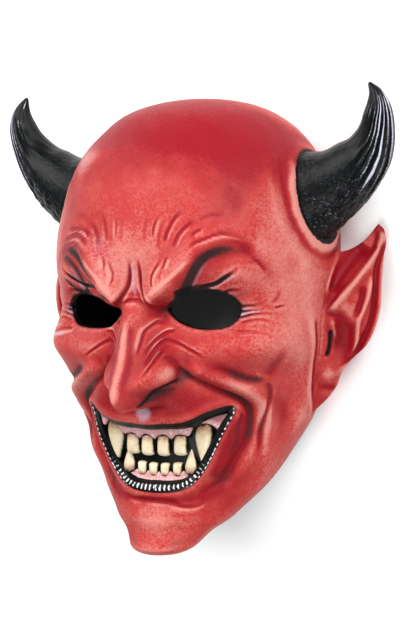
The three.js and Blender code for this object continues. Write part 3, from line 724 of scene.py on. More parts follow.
LOWER_ROOTS = (
    [0, 2, 4, 6, 7.8, 9.8, 12, 14, 16, 18.5, 22, 26, 40],
    [-97, -98.6, -99.2, -98.4, -96.8, -98.2, -98.8, -98, -96.4, -97, -97.4, -93.5, -80],
)


def both_halves(half):
    """The left half's points, then the same points reversed on the right half."""
    other = [(-a, b) for a, b in half[::-1] if a > 0]
    return through(half + other, closed=True)


lip_outer, lip_run, lip_x, lip_y = depth_inside(both_halves(MOUTH_OUTER), x, y)
lip_inner, _, _, _ = depth_inside(both_halves(MOUTH_INNER), x, y)
on_lip = np.clip(lip_outer / np.maximum(lip_outer - lip_inner, 1e-6), 0, 1)
within = step(-0.3, 2.2, lip_inner)
swell += 2.4 * bell(lip_outer + 1.0, 3.2)
forward += 2.0 * np.sin(np.pi * on_lip) * step(-98, -104, y)
upper_gum = step(-1.2, 1.2, y - curve(*UPPER_ROOTS, ax))
lower_gum = step(-1.2, 1.2, curve(*LOWER_ROOTS, ax) - y) * step(30, 24, ax)
gum = np.maximum(upper_gum, lower_gum) * step(0.2, 1.4, lip_inner)
forward += within * (GUM_HEIGHT * gum - MOUTH_RECESS)
print("grin, mm: round the lips", lip_run.max().round(), "across", np.ptp(x[lip_outer > 0]).round())

# %% [markdown]
# The eyes are holes cut right through, so the wearer can see out. The two outlines differ, as they
# would when cut by hand. Here their distances are only measured and a thin lip is raised round
# them. The cutting comes with the mesh.

# %% The eye holes
outlines = [through(hole, closed=True) for hole in (EYE_HOLE, FAR_EYE_HOLE)]
holes = [depth_inside(outline, np.abs(x), y) for outline in outlines]
eye_depth, eye_x, eye_y = (np.where(x < 0, holes[1][k], holes[0][k]) for k in (0, 2, 3))
swell += 0.5 * bell(eye_depth + 1.3, 1.2)
print("eye holes, mm across:", np.ptp(x[(eye_depth > 0) & (x > 0)]).round(),
      np.ptp(x[(eye_depth > 0) & (x < 0)]).round())

# %% [markdown]
# Horns and ears grow out of the head without a seam. Round each horn the skin is drawn up into a
# soft collar with a groove outside it, and a groove runs down in front of each ear. The right
# temple stands a little prouder than the left one, a wander of the hand-made mould.

# %% Collars and the groove before the ear
HORN_FOOT = {"up": 69.0, "out": -60.5, "half_up": 27.5, "half_out": 23.5}
FOOT_RADIUS = 24.0
EAR_GROOVE = [(-2, -52), (-14, -55), (-36, -63), (-50, -68), (-64, -79)]


def far_temple(x, y):
    """How much prouder than the left temple the right one stands."""
    return drawn(x, y, [(2.6, (-84, 38), (18, 30)), (1.7, (-82, 20), (16, 40), 0, 3)])


on_side = step(30, 60, np.abs(x))
foot_up = (y - HORN_FOOT["up"]) / HORN_FOOT["half_up"]
foot_out = (z - HORN_FOOT["out"]) / HORN_FOOT["half_out"]
from_foot = (np.hypot(foot_up, foot_out) - 1.0) * FOOT_RADIUS
lumpy = 0.8 * ripple(x, y, z, 31, 9)
from_lumps = from_foot + 0.5 * lumpy
collar = (1.2 - 0.6 * step(75, 95, y)) * bell(from_lumps - 3.0, 3.0)
collar += 0.3 * bell(from_foot - 16, 3.0) - 0.6 * bell(from_lumps - 8.5, 3.0)
ear_groove = stroke(EAR_GROOVE, y, z, 1.7)
ear_ridge = stroke(aside(EAR_GROOVE, 0, 4.5), y, z, 2.6)
under_jaw = step(-48, -66, y) * step(-134, -122, y) * step(0.35, 0.0, ball[..., 2])
side_swell = on_side * (collar - 1.1 * ear_groove + 0.5 * ear_ridge)
side_swell += far_temple(x, y) + 2.2 * under_jaw
print("side swell, mm:", side_swell.min().round(1), "to", side_swell.max().round(1))

# %% [markdown]
# Now the bare head is moved by all of this. Forms on the face fade out where the head turns away,
# and nothing sinks below the rim. Near an eye hole's edge the grid's points slide onto the outline,
# so the cut is clean, and inside the hole they run back as a short tunnel.

# %% The form and its outer skin
TUNNEL = 3.4
ON_EDGE = 0.34
SLIDE_INSIDE = 0.88


def moulded(swell, forward, nose, inset=0.0):
    """The bare head moved along its outward direction, forward, and down where it is nose."""
    points = bare + outward * (swell * facing + side_swell - inset)[..., None]
    points[..., 1] -= NOSE_DROOP * nose * facing
    points[..., 2] += forward * facing
    points[..., 2] = np.maximum(points[..., 2], RIM_DEPTH)
    return points


on_rim = np.zeros(x.shape, bool)
on_rim[[0, -1], :] = on_rim[:, [0, -1]] = True
grounded = on_rim & (ball[..., 1] > RIM_LEAVES_GROUND * np.hypot(ball[..., 0], ball[..., 1]))

on_edge = np.abs(eye_depth) < ON_EDGE
eye_edge = np.where(on_edge, 0.0, eye_depth)
pull = np.where(on_edge, 1.0, np.where(eye_depth > 0, SLIDE_INSIDE, 0.0))
shift = pull[..., None] * np.stack([(eye_x - np.abs(x)) * np.sign(x), eye_y - y], -1)
form = moulded(swell, forward, nose)
outer = form.copy()
outer[..., :2] += shift
outer[..., 2] -= TUNNEL * step(0.0, 1.2, eye_edge)
outer[grounded, 2] = RIM_DEPTH
print("outer skin, mm:", outer.min((0, 1)).round(1), outer.max((0, 1)).round(1))

# %% [markdown]
# The inside of a slush-cast mask follows the outside softly, a wall's thickness behind it: the
# latex fills every small groove. So the inner skin is the same form with its relief dulled, on
# every fourth and fifth line. Both skins are cut at the eyes.

# %% The inner skin
INNER_ACROSS, INNER_UP = 4, 5
TUNNEL_END = 1.25


def dulled(field):
    """The lowest value near by, then smoothed."""
    return blurred(lowest(field, 4), 24)


inner = moulded(dulled(swell), dulled(forward), dulled(nose), WALL)
level = ball[on_rim] * (1, 1, 0)
inner[on_rim] = outer[on_rim] - WALL * level / np.linalg.norm(level, axis=-1, keepdims=True)
inner = inner[::INNER_UP, ::INNER_ACROSS]
inner_eye = eye_depth[::INNER_UP, ::INNER_ACROSS]

outer_faces = grid_faces(ROWS, COLUMNS)
inner_faces = grid_faces(*inner_eye.shape)[:, ::-1]
outer_faces = outer_faces[eye_edge.ravel()[outer_faces].min(1) < TUNNEL_END]
inner_faces = inner_faces[inner_eye.ravel()[inner_faces].max(1) < 0.0]
print("faces: outer", len(outer_faces), "inner", len(inner_faces))

# %% [markdown]
# ## Where the paint goes
# The casting is painted in layers: red all over, crimson in the hollows, pale pink brushed over the
# ridges, and grey-black airbrushed into the deepest folds and round the eyes. Each layer is a field
# over the skin's points. Hollows and ridges are told apart by how far the skin lies below or above
# its own smoothed copy. The rest is drawn with the same strokes and mounds as the folds, and a row
# begins with a strength of paint in place of a height.

# %% Hollows and ridges
BROW_SHADOW = [
    (24, 6), (28.5, 9), (32.5, 14), (36, 20.5), (39.4, 26.5), (43.2, 31.5), (47.8, 34.8),
    (52.5, 36.2), (56.5, 35.6), (60, 33.2), (63.5, 30),
]
FAR_SHADOW = [
    (-40, 7.5), (-43.8, 9.5), (-45.6, 14.5), (-45.2, 21.5), (-47, 26.8), (-51.8, 31),
    (-56.7, 32.6), (-64, 32.2),
]
FAR_LID = [(-46, 11), (-50.5, 10.8), (-55.5, 13.6), (-58, 18.2), (-60.5, 22.5)]
SOCKET_RIM = [(57, 37.5), (62, 35.5), (66.5, 32), (69.5, 27), (70.8, 21), (69.6, 14)]
BROW_CREST = [
    (12.5, 10.6), (15.3, 12.8), (21.3, 17.3), (25.7, 21.3), (30.2, 25.4), (34.9, 30.2),
    (39.5, 34.6),
]
FAR_CREST = [(-40, 39.1), (-47, 39.6), (-56.2, 39), (-64, 37.5)]
FAR_BROW_SHADE = [
    (-44.5, 39.8), (-35.6, 35.7), (-31.3, 33), (-28.6, 30.1), (-26, 26.8), (-22.9, 23.6),
    (-20.3, 20.4),
]
FAR_GLINT = [(-74, -12.4), (-67, -13.2), (-58, -12.6), (-52, -11)]
LOW_GLINT = [(-76, -7.5), (-70, -8.5), (-63, -7.5)]
WING_SHADOW = [
    (5, -52.5), (8, -49.5), (11, -46), (15, -42.8), (20, -40.8), (24, -39.6), (26.5, -37),
]
SMILE_SHADOW = SMILE_GROOVE[6:]


def relief(points, normals, times):
    """How far each point lies below its smoothed neighbourhood, along the surface's normal."""
    return np.sum((blurred(points, times) - points) * normals, axis=-1)


normals = normals_of(form)
fine_hollow = relief(form, normals, 4)
broad_hollow = relief(form, normals, 60) - relief(bare, outward, 60)
print("relief, mm: fine", fine_hollow.std().round(3), "broad", broad_hollow.std().round(3))

# %% [markdown]
# Crimson is the first shade over the red. It covers the top of the forehead, where it is also
# painted shade, and lies along the brows, in every wrinkle, beside the nose and the mouth and round
# the horns' feet. Along the right brow's far slope and under the nose's tip it is painted shade. It
# is taken off at a painted highlight on the right temple and at a paler patch between the brows.

# %% Crimson
# Over the crown the crimson is also painted shade, where the top of the head turns from the light;
# less on the temples.
crimson = 1.45 * step(52, 112, y) * (1 - 0.6 * step(62, 84, ax))
crimson += drawn(ax, y, [
    (0.7, [(50, 128), (55, 104), (57, 82), (57, 62), (54, 45)], (6.5, 13), (0.1, 0.25)),
    (1.2, FROWN, 1.3, (0, 0.5)),
    (0.5, (50, 28), (9, 6), 20),
    (0.4, (44, 40), (22, 6), 15),
    (0.35, BROW_WRINKLE, 2.4),
    (0.35, STEEP_WRINKLE, 2.4),
    (0.6, CHEEK_SIDE, 2.4, (0.1, 0.5)),
    (0.4, SMILE_ROLL[6:], 4, (0.2, 0)),
    (0.8, (20, -54), (22, 11), 10),
    (0.5, (34, -56), (12, 8), -20),
    (0.42, SMILE_SHADOW, (4, 9), (0.1, 0.1)),
    (0.9, (46.5, -71), (6, 13), -20),
    (0.5, [(14, -19), (22, -16), (30, -16.5), (40, -18), (52, -19)], (4.0, 3.5), (0.15, 0.6)),
    (0.6, [(19, -24), (25, -28), (32, -33), (42, -40), (52, -46)], (4.0, 3.0), (0.1, 0.3)),
    (1.2, [(3, -4), (3.9, -15), (4.5, -25), (4.5, -36), (4.2, -43)], 1.6, (0.1, 0.3)),
    (0.6, (10, -42), (8, 6)),
    (0.4, (16, -8), (8, 14)),
    (0.8, [(21, -11), (16.5, -17), (13.5, -23), (12.5, -29)], 1.3, (0.1, 0.3)),
    (0.5, (16, -22), (7, 9), -30),
    (0.6, (50, -27), (20, 8), -14),
    (0.4, (9, -28), (5, 14), -15),
    (0.95, [(40, -103), (28, -112), (10, -114), (0, -113)], 4, (0.1, 0)),
    (0.95, [(52, -60), (50.5, -70), (46, -81), (40, -93), (34, -101)], (4.5, 5), (0.15, 0.1)),
    (0.65, SOCKET_RIM, (2.4, 1.8), (0.2, 0.3)),
    (0.25, (70, -55), (8, 14)),
    (0.5, (40, -118), (12, 20), -20),
    (0.15, (68, -62), (12, 34), 10),
])
crimson += 1.3 * stroke(aside(BROW[:10], 0.7, -1.0), brow_x, y - 1.0, (2.0, 4.0), (0.05, 0.1))
crimson += 1.1 * stroke(CHEEK_LINE, ax, y_drawn, 1.1, (0.05, 0.25))
crimson += drawn(ax, y_drawn, [(0.9, path, 0.8, (0.1, 0.4)) for path in SNARL])
for strong, wide, path in WRINKLES:
    line = stroke(path, brow_x, y_drawn, 0.85 * wide * far_wider, (0.15, 0.4))
    crimson += 1.5 * strong * far_softer * line
crimson += drawn(x, y, [(0.9, path, 1.2, (0.2, 0.3)) for path in FAR_ARCS])
# Painted shade: along the right brow's slope that turns from the light, and under the nose's tip.
crimson += drawn(x, y, [(0.9, FAR_BROW_SHADE, 1.5, (0.1, 0.3)), (0.7, (1.5, -48.5), (7, 4))])
# Crimson is taken off at a painted highlight on the right temple and at a paler patch between the
# brows.
highlight_and_pale_patch = drawn(x, y, [(0.9, (-56, 90), (22, 20)), (0.5, (-6, 24), (15, 16))])
crimson = crimson * (1 - highlight_and_pale_patch) - 0.22 * mound((-5, 76), x, y, (24, 13))
round_horn = bell(from_foot - 7.5 + 0.6 * lumpy, 2.8) * (0.4 + 0.4 * step(45, 85, y))
round_horn += 0.7 * bell(from_foot - 1.5, 4.0) * step(82, 94, y)
round_horn += 0.3 * bell(from_foot - 14 + 0.8 * lumpy, 2.6)
crimson = crimson * facing + on_side * (round_horn + 0.6 * ear_groove)
print("crimson at its strongest:", crimson.max().round(2))

# %% [markdown]
# Soot is the airbrushed grey black that deepens the sockets, the folds beside the nose and the
# corners of the mouth. Ink is a finer brush with nearly black paint, in the lid lines, the crow's
# feet and the deepest creases.

# %% Soot and ink
lower_rim = step(4.0, -3.0, y)
soot = 0.5 * bell(eye_depth + 0.6, 1.7) * (1 - 0.5 * lower_rim)
soot += drawn(ax, y, [
    (1.35, BROW_SHADOW, (2.6, 2.0), (0.1, 0.5)),
    (0.5, BROW_SHADOW, (4.0, 5.0), (0.1, 0.3)),
    (0.3, SOCKET_RIM, 2.2, (0.1, 0.5)),
    (0.3, (65, 21), (3.6, 6)),
    (0.6, (60, 11), (4.5, 2.6)),
    (0.6, (16, -0.5), (5, 2.6)),
    (0.4, (64, 3), (5, 5)),
    (0.75, FROWN, 1.0, (0, 0.6)),
    (0.5, WING_SHADOW, (1.2, 3.4), (0.15, 0.15)),
    # under the nose: airbrush, and the nose's painted shadow
    (0.75, (15.5, -47), (9, 5.5), 25),
    (0.62, (26.5, -38), (3.6, 4.4), 30),
    (0.55, SMILE_GROOVE[:8], (1.6, 1.8), (0.1, 0.1)),
    (0.6, SMILE_GROOVE[4:11], 1.6, (0.2, 0.2)),
    (0.3, SMILE_SHADOW, (2.4, 3.2), (0.1, 0.3)),
    (0.34, (46, -72), (6, 12), -20),
    (0.45, (38, -100), (7, 8), -40),
    (0.95, [(43, -32.5), (49, -35), (54, -37.8), (59, -40), (63, -40), (66, -37)],
     (3.2, 2.6), (0.4, 0.2)),
    (0.5, [(30, -131), (22, -137), (10, -141)], 3.5),
])
soot += drawn(ax, y_drawn, [(0.75, CHEEK_LINE, 0.9, (0.05, 0.4)), (0.4, MOUTH_LINE, 1.4)])
soot += stroke(FAR_SHADOW, x, y, (4.5, 1.0), (0.1, 0.25))
soot *= facing

corner_lines = [(0.95, path, 0.6, (0.0, 0.85)) for path in CROWS_FEET[:3] + LID_FOLDS[1:]]
ink = 0.8 * bell(eye_depth + 0.2, 0.8) * step(-2, 4, y)
ink += drawn(ax, y, [
    (1.1, LID_LINE, (1.9, 1.2), (0.0, 0.3)),
    (0.6, SMILE_GROOVE[:9], 0.75, (0.05, 0.3)),
    (0.9, WING_SHADOW, 1.0, (0.05, 0.2)),
])
ink += drawn(ax, y_drawn, corner_lines + [(0.3, MOUTH_LINE, 0.9)])
ink += 0.9 * stroke(FAR_LID, x, y, (1.2, 1.6), (0, 0.3))
ink *= facing
print("soot and ink at their strongest:", soot.max().round(2), ink.max().round(2))

# %% [markdown]
# Pale pink is dry-brushed over what stands proud, such as the brow's crest, the nose and the
# cheeks, and as thin lines beside the wrinkles. On the temples, and down the nose's ridge to its
# tip, it is also painted highlight. A cooler lilac lies thinly over red and soot.

# %% Pale pink and lilac
pale = drawn(ax, y, [
    (0.6, [(7.6, -6), (6.9, -14), (7, -21)], 1.1),
    (0.9, (21, -34.5), (3.4, 3.6)),
    (0.6, [(44, -35.5), (49, -38.5), (54.5, -42.5), (60, -45), (62.5, -51)],
     (1.8, 2.2), (0.3, 0.4)),
    (0.5, (37, -19.5), (8, 4), -28),
    # paler temples, a painted highlight
    (0.65, (81, 40), (16, 58), 0, 4),
    (0.5, (10, 30), (16, 20)),
    (0.25, (71, -24), (8, 8)),
    (0.35, (80, -20), (8, 26)),
])
pale += drawn(x, y, [
    (1.2, FAR_CREST, 0.9),
    # a painted highlight down the nose's ridge and on its tip
    (1.0, [(0, -5), (0.4, -17), (0.4, -30), (-0.4, -40), (-1.4, -46)], 2.6, (0.1, 0.15)),
    (0.5, (1.5, -41), (3.6, 4)),
    (0.4, (-6, 24), (15, 16)),
    (0.5, (0, 5), (2.4, 1.6)),
    (0.62, (0, -128), (16, 10)),
    (0.25, (-47, -23), (10, 7)),
    # a painted highlight on the right temple
    (0.7, (-54, 92), (17, 15)),
    (1.3, FAR_GLINT, 1.0),
    (0.9, LOW_GLINT, 0.9),
    *[(0.9, aside(path, 0, -2.2), 1.1, (0.2, 0.3)) for path in FAR_ARCS],
])
pale += 1.5 * stroke(BROW_CREST, brow_x, y, 0.9, (0.05, 0.4))
pale += 1.1 * stroke(CHIN_CREASE, x, y + 1.3, (0.9, 1.1))
pale += drawn(ax, y_drawn, [
    (0.5, aside(CHEEK_LINE, 2.0, 0), 0.9),
    *[(1.2, aside(path, -0.9, 1.0), 0.75, (0.1, 0.4)) for path in SNARL[:4]],
])
pale += drawn(brow_x, y_drawn, [
    (0.6, aside(LONG_WRINKLE, 0, -1.9), 1.0, (0.2, 0.3)),
    *[(0.8 * strong, aside(path, 1.8, -0.7), 0.9 * far_wider, (0.2, 0.4))
      for strong, _, path in WRINKLES[:4] + WRINKLES[6:9]],
])
on_collar = 0.45 * bell(from_foot - 2.4 + 0.7 * lumpy, 2.0) * step(92, 80, y)
pale = pale * facing + on_side * (on_collar + 0.3 * ear_ridge)

lilac = 0.5 * bell(eye_depth + 0.75, 0.5) * lower_rim
lilac += drawn(x, y, [
    (0.95, (-1, -60.5), (5.6, 5.0), 0, 3),
    (0.35, (-24, 38), (9, 12), 35),
    # the painted highlight on the right temple, cooler
    (0.45, (-54, 92), (14, 12)),
    (0.2, (-6, 24), (12, 14)),
    (0.5, [(0, 8), (-0.4, 18), (0, 28), (0.5, 38)], 1.8, (0.1, 0.6)),
    (0.6, aside(FAR_SHADOW[1:6], -3.5, -1.5), 1.8, (0.2, 0.3)),
    (0.9, FAR_GLINT[:3], 0.9),
    (0.6, LOW_GLINT, 0.8),
])
lilac += drawn(ax, y, [
    (0.5, aside(BROW_SHADOW[1:8], 2.3, -2.0), 1.8, (0.2, 0.5)),
    (0.6, aside(LID_LINE[2:], 0, -1.9), 0.7, (0.2, 0.3)),
])
under_folds = [aside(path, 0, 1.3) for path in CROWS_FEET[1:3]]
lilac += drawn(ax, y_drawn, [(0.9, path, 0.6, (0.0, 0.8)) for path in under_folds])
lilac *= facing
print("pale pink and lilac at their strongest:", pale.max().round(2), lilac.max().round(2))

# %% [markdown]
# The paint also needs to know where it is: how deep inside a lip line or an eye hole, how far along
# the lip, how far from a horn. Those distances are clipped, and a piece that has no mouth or horn
# gets the clipped value, so that one paint serves the shell and the ears.

# %% The layers together
NEAR, HORN_REACH = 9, 40
NOWHERE = {"lip": -NEAR, "panel": -NEAR, "eye": -NEAR, "foot": HORN_REACH}

DASHES_TOP, DASHES_SLANT = -72, 0.526  # the dashes stop at a line that rises to the corners

slant = DASHES_TOP + (np.abs(lip_x) - 20) * DASHES_SLANT
below_slant = 1 - step(-1, 1, lip_y - slant)
layers = {
    "hollow": fine_hollow, "broad": broad_hollow, "crimson": crimson, "soot": soot,
    "ink": ink, "pale": pale, "lilac": lilac, "gum": gum * within,
    "lip": np.clip(lip_outer, -NEAR, NEAR), "panel": np.clip(lip_inner, -NEAR, NEAR),
    "run": lip_run, "dashes": below_slant * step(-108, -103, lip_y), "ribs": step(-88, -100, y),
    "eye": np.clip(eye_edge, -NEAR, NEAR),
    "foot": np.where(on_side > 0, np.clip(from_foot, -NEAR, HORN_REACH), HORN_REACH),
    "corner": mound((41.5, -61.5), ax, y, (6, 4.5)), "inside": np.zeros(x.shape),
}
print("layers:", *layers)

# %% [markdown]
# Now the two skins become one closed shell. Each has three open edges: the rim and the two eye
# holes. Those edges are walked round, matched by the angle round their middle, and joined with
# triangles, which works although the outer skin has four or five times as many points.

# %% The shell's mesh


def rings_of(faces):
    """Walks round a sheet's holes: an edge with a face on one side only leads to the next one."""
    edges = np.stack([faces, np.roll(faces, -1, axis=1)], axis=-1).reshape(-1, 2)
    known = set(map(tuple, edges.tolist()))
    following = {a: b for a, b in known if (b, a) not in known}
    rings = []
    while following:
        start, number = following.popitem()
        ring = [start]
        while number != start:
            ring.append(number)
            number = following.pop(number)
        rings.append(np.array(ring))
    return sorted(rings, key=lambda ring: points[ring, 0].mean())


def by_angle(ring, middle):
    """The ring turned to start at the smallest angle round the middle and to run with it, and
    the angle, unwound, at the half way point of each of its edges."""
    offset = points[ring, :2] - middle
    angle = np.arctan2(offset[:, 1], offset[:, 0])
    if np.sum(np.diff(np.unwrap(angle))) < 0:
        ring, angle = ring[::-1], angle[::-1]
    first = int(np.argmin(angle))
    ring, angle = np.roll(ring, -first), np.unwrap(np.roll(angle, -first))
    ends = np.append(angle[1:], angle[0] + 2 * math.pi)
    return ring, np.maximum.accumulate((angle + ends) / 2)


def strip_between(first_ring, second_ring):
    """Every edge of one ring makes a triangle with the point the other ring has reached by then."""
    middle = points[first_ring, :2].mean(0)
    (one, at_one), (two, at_two) = by_angle(first_ring, middle), by_angle(second_ring, middle)
    reached_two = two[np.searchsorted(at_two, at_one, side="left") % len(two)]
    reached_one = one[np.searchsorted(at_one, at_two, side="right") % len(one)]
    return np.vstack([
        np.stack([one, np.roll(one, -1), reached_two], axis=-1),
        np.stack([np.roll(two, -1), two, reached_one], axis=-1),
    ])


def face_outward(piece):
    """Turns every face of a closed shell to the outside and says how much latex it holds."""
    shell = bmesh.new()
    shell.from_mesh(piece.data)
    bmesh.ops.delete(shell, geom=[v for v in shell.verts if not v.link_faces], context="VERTS")
    bmesh.ops.recalc_face_normals(shell, faces=shell.faces)
    open_edges = sum(edge.is_boundary for edge in shell.edges)
    print(f"open edges {open_edges}, volume {shell.calc_volume() * 1e6:.1f} cm3")
    shell.to_mesh(piece.data)
    shell.free()


points = np.vstack([outer.reshape(-1, 3), inner.reshape(-1, 3)])
values = {
    key: np.append(field, np.full(inner_eye.size, float(key == "inside")))
    for key, field in layers.items()
}
inner_faces = inner_faces + ROWS * COLUMNS
pairs = list(zip(rings_of(outer_faces), rings_of(inner_faces)))
strips = [strip_between(one, two) for one, two in pairs]
print("rings joined:", [(len(one), len(two)) for one, two in pairs])
skin_piece = add_mesh("mask_skin", points, [outer_faces, inner_faces, *strips], values)
face_outward(skin_piece)
skin_piece.data.shade_smooth()

# %% [markdown]
# ## Ears
# An ear is a cupped leaf swept back from the side of the head: a front sheet with a curled rim, a
# groove inside it, the long fold that climbs to the tip and the bowl, and a plain back sheet. Its
# root flares on both sides so it melts into the head.

# %% The leaf of the ear
EAR_EDGE_AT = [-64, -55, -46, -36, -30, -22, -12, 0, 16, 34, 46, 50.5, 53]
EAR_EDGE = [1.5, 8.5, 13.2, 15.6, 20.2, 28, 33, 35.2, 33.2, 29.8, 30.2, 29, 26.6]
EAR_ROOT_AT = [-64, -30, 0, 20, 38]
EAR_ROOT_DEPTH = [-73, -66, -61, -65.5, -77]
EAR_ROOT_SPAN = (-62, 36)
EAR_TOP_SAG = 5.0
EAR_SWEEP = math.radians(35)
EAR_THICKNESS = 4.6
EAR_ROUNDING, EAR_FLARE = 1.6, 5.0
EAR_SUNK, ROOT_SUNK = 1.2, 1.5
LONG_FOLD = [(4, -2), (6, 2.5), (10.6, 10), (15.6, 17.4), (20.6, 28), (25.4, 39.5), (28.4, 49.5)]
BOWL_RIDGE = [
    (26, 24), (26.8, 12), (25.5, 2), (23, -8), (22.5, -20), (19.5, -29), (14, -36), (10, -42),
]
SHORT_RIDGE = [(8, 4), (13, 2), (18, -4), (22, -10)]
WEDGE = [(22, 16), (23.5, 8), (22.5, 0), (20.5, -6)]
TRAGUS = [(5.5, -2), (8, -8), (10, -15), (10.5, -20)]
SLIT = [(6.5, -11), (7, -16), (6.5, -23), (4.5, -29)]
OUTER_GROOVE = [
    (28.8, 44), (27.4, 30), (29.3, 18), (31, 8.5), (31.5, -2), (29.5, -11), (25, -21), (19, -30),
    (12, -39),
]
HOLLOW = [(3.6, 10), (7, 21), (11.6, 31), (18.5, 41)]

u, v = np.meshgrid(np.linspace(0, 1, 49) ** 0.9, np.linspace(0, 1, 121))
edge_up = EAR_EDGE_AT[0] + v * (EAR_EDGE_AT[-1] - EAR_EDGE_AT[0])
edge = curve(EAR_EDGE_AT, EAR_EDGE, edge_up)
root_up = EAR_ROOT_SPAN[0] + v * (EAR_ROOT_SPAN[1] - EAR_ROOT_SPAN[0])
out = edge * u
up = root_up + (edge_up - root_up) * u - EAR_TOP_SAG * 4 * u * (1 - u) * v**6
root_depth = curve(EAR_ROOT_AT, EAR_ROOT_DEPTH, up)
from_edge = edge - out
off_root = step(0.0, 0.16, u)

ear_relief = 2.4 * bell(from_edge, 2.4) * step(-60, -40, up) * step(40, 24, up)
ear_relief += drawn(out, up, [
    (4.6, LONG_FOLD, (1.6, 4.6), (0.1, 0.08)),
    (-4.6, HOLLOW, (7.0, 4.6), (0.15, 0.2)),
    (-1.9, OUTER_GROOVE, 1.7, (0.1, 0.2)),
    (2.8, BOWL_RIDGE, (1.9, 2.4), (0.2, 0.15)),
    (-2.0, WEDGE, 2.0, (0.3, 0.3)),
    (1.6, SHORT_RIDGE, (4.5, 3.4), (0.3, 0.3)),
    (-5.0, (13.5, -15), (7.5, 13), 8, 2.4),
    (1.8, TRAGUS, 2.4, (0.4, 0.4)),
    (-2.5, SLIT, 1.4),
    (3.0, (7, -39), (5, 5)),
    (-1.2, (9, -47), (6, 2.4)),
])
ear_relief += 0.3 * ripple(out, up, 0 * up, 41, 11)
round_edge = np.sqrt(np.clip(from_edge / EAR_ROUNDING, 0, 1))


def ear_sheet(height):
    """A sheet of the leaf, its height measured square to the leaf, its root sunk in the head."""
    depth = root_depth - out * math.sin(EAR_SWEEP) + height * math.cos(EAR_SWEEP)
    side = side_of(up, root_depth) + out * math.cos(EAR_SWEEP) + height * math.sin(EAR_SWEEP)
    side = np.maximum(side, side_of(up, np.maximum(depth, RIM_DEPTH)) - EAR_SUNK)
    side = np.where(u == 0, side_of(up, depth) - ROOT_SUNK, side)
    return np.stack([side, up, np.maximum(depth, RIM_DEPTH)], axis=-1)


flare = EAR_FLARE * bell(out, 3.4)
front_sheet = ear_sheet(ear_relief * off_root + 0.15 * flare)
thickness = EAR_THICKNESS * (1 - 0.45 * u) * (0.35 + 0.65 * round_edge)
back_sheet = ear_sheet(np.minimum(ear_relief * 0.25, ear_relief) * off_root - thickness - flare)


def envelope(front_points, back_points):
    """Two sheets of one grid joined round their edge into a closed leaf: quads of the front, of
    the back turned round, and a strip along each of the four sides."""
    rows, columns = front_points.shape[:2]
    count = rows * columns
    number = np.arange(count).reshape(rows, columns)
    sides = [number[0, :], number[1:, -1], number[-1, -2::-1], number[-2:0:-1, 0]]
    border = np.concatenate(sides)
    following = np.roll(border, -1)
    strip = np.stack([border, border + count, following + count, following], axis=-1)
    faces = [grid_faces(rows, columns), grid_faces(rows, columns)[:, ::-1] + count, strip]
    return np.vstack([front_points.reshape(-1, 3), back_points.reshape(-1, 3)]), faces


left_points, left_faces = envelope(front_sheet, back_sheet)
print("ear, mm:", np.ptp(left_points, axis=0).round(1))

# %% [markdown]
# The ear is painted like the face: crimson in its bowl and hollows, soot in the slit, pale pink
# along its folds and rim. The back is plain. The right ear moves out with the prouder temple.

# %% The ears' paint, and both ears
ear_front = normals_of(front_sheet)
ear_crimson = 0.6 * bell(out, 4.0) + drawn(out, up, [
    (1.3, HOLLOW, (10.0, 6.0), (0.0, 0.05)),
    (1.1, (14, -14), (9, 14)),
    (1.0, OUTER_GROOVE, 2.2),
    (0.8, WEDGE, 2.4),
    (0.5, (8, -55), (8, 8)),
])
ear_pale = 0.5 * bell(from_edge, 1.8) * step(44, 24, up) + drawn(out, up, [
    (0.9, LONG_FOLD, (1.0, 2.4)),
    (0.7, BOWL_RIDGE, 1.4),
    (0.7, (15, 4), (9, 5), -50),
    (0.4, TRAGUS, 1.6, (0.4, 0.4)),
    (0.6, (27, 28), (3, 14), -12),
    (0.6, (7, -39), (4, 4)),
])
ear_soot = drawn(out, up, [
    (1.2, SLIT, 1.5), (0.5, (13.5, -17), (6, 11), 8), (0.4, OUTER_GROOVE, 1.3), (0.25, HOLLOW, 6),
])
ear_layers = {
    "hollow": relief(front_sheet, ear_front, 6), "broad": relief(front_sheet, ear_front, 60),
    "crimson": ear_crimson + 0.15, "soot": ear_soot, "pale": ear_pale,
    "ink": stroke(SLIT, out, up, 1.0, (0.1, 0.2)),
}
on_back = {**NOWHERE, "crimson": 0.35}
values = {
    key: np.append(ear_layers.get(key, NOWHERE.get(key, 0) + 0 * up), 0 * up + on_back.get(key, 0))
    for key in layers
}
right_points, right_faces = mirrored(left_points, left_faces)
right_points[:, 0] -= far_temple(-85.0, right_points[:, 1])
ears = [
    add_mesh("ear_left", left_points, left_faces, values),
    add_mesh("ear_right", right_points, right_faces, values),
]
print("ear, cm3:", round(enclosed(left_points, left_faces) / 1000, 1))

# %% [markdown]
# ## Horns
# A horn is a bull's: thick and oval at the foot, bending outwards and then straight up to a point.
# Rings are set along its middle line with a radius each, squashed a little at the foot. The first
# ring is an oval drawn on the side of the head and sunk in it, so no gap shows at the collar.

# %% The horn
HORN_LINE = [
    (86, 71, -61.5), (99, 80, -60.3), (109.5, 88, -60.3), (116.6, 94.8, -59.2), (121.6, 103, -57),
    (124.5, 110.5, -54.5), (125.8, 118, -52.5), (125.8, 124.5, -51.6), (124.3, 130, -51),
    (121.3, 135.2, -50),
]
HORN_RADIUS = [24.5, 20.6, 17.6, 14.8, 12.2, 10.2, 8.6, 6.4, 4, 1.2]
HORN_SIDES, HORN_RINGS = 240, 190
FOOT_SUNK = 2.0
CLOSER_AT_TIP = 0.85

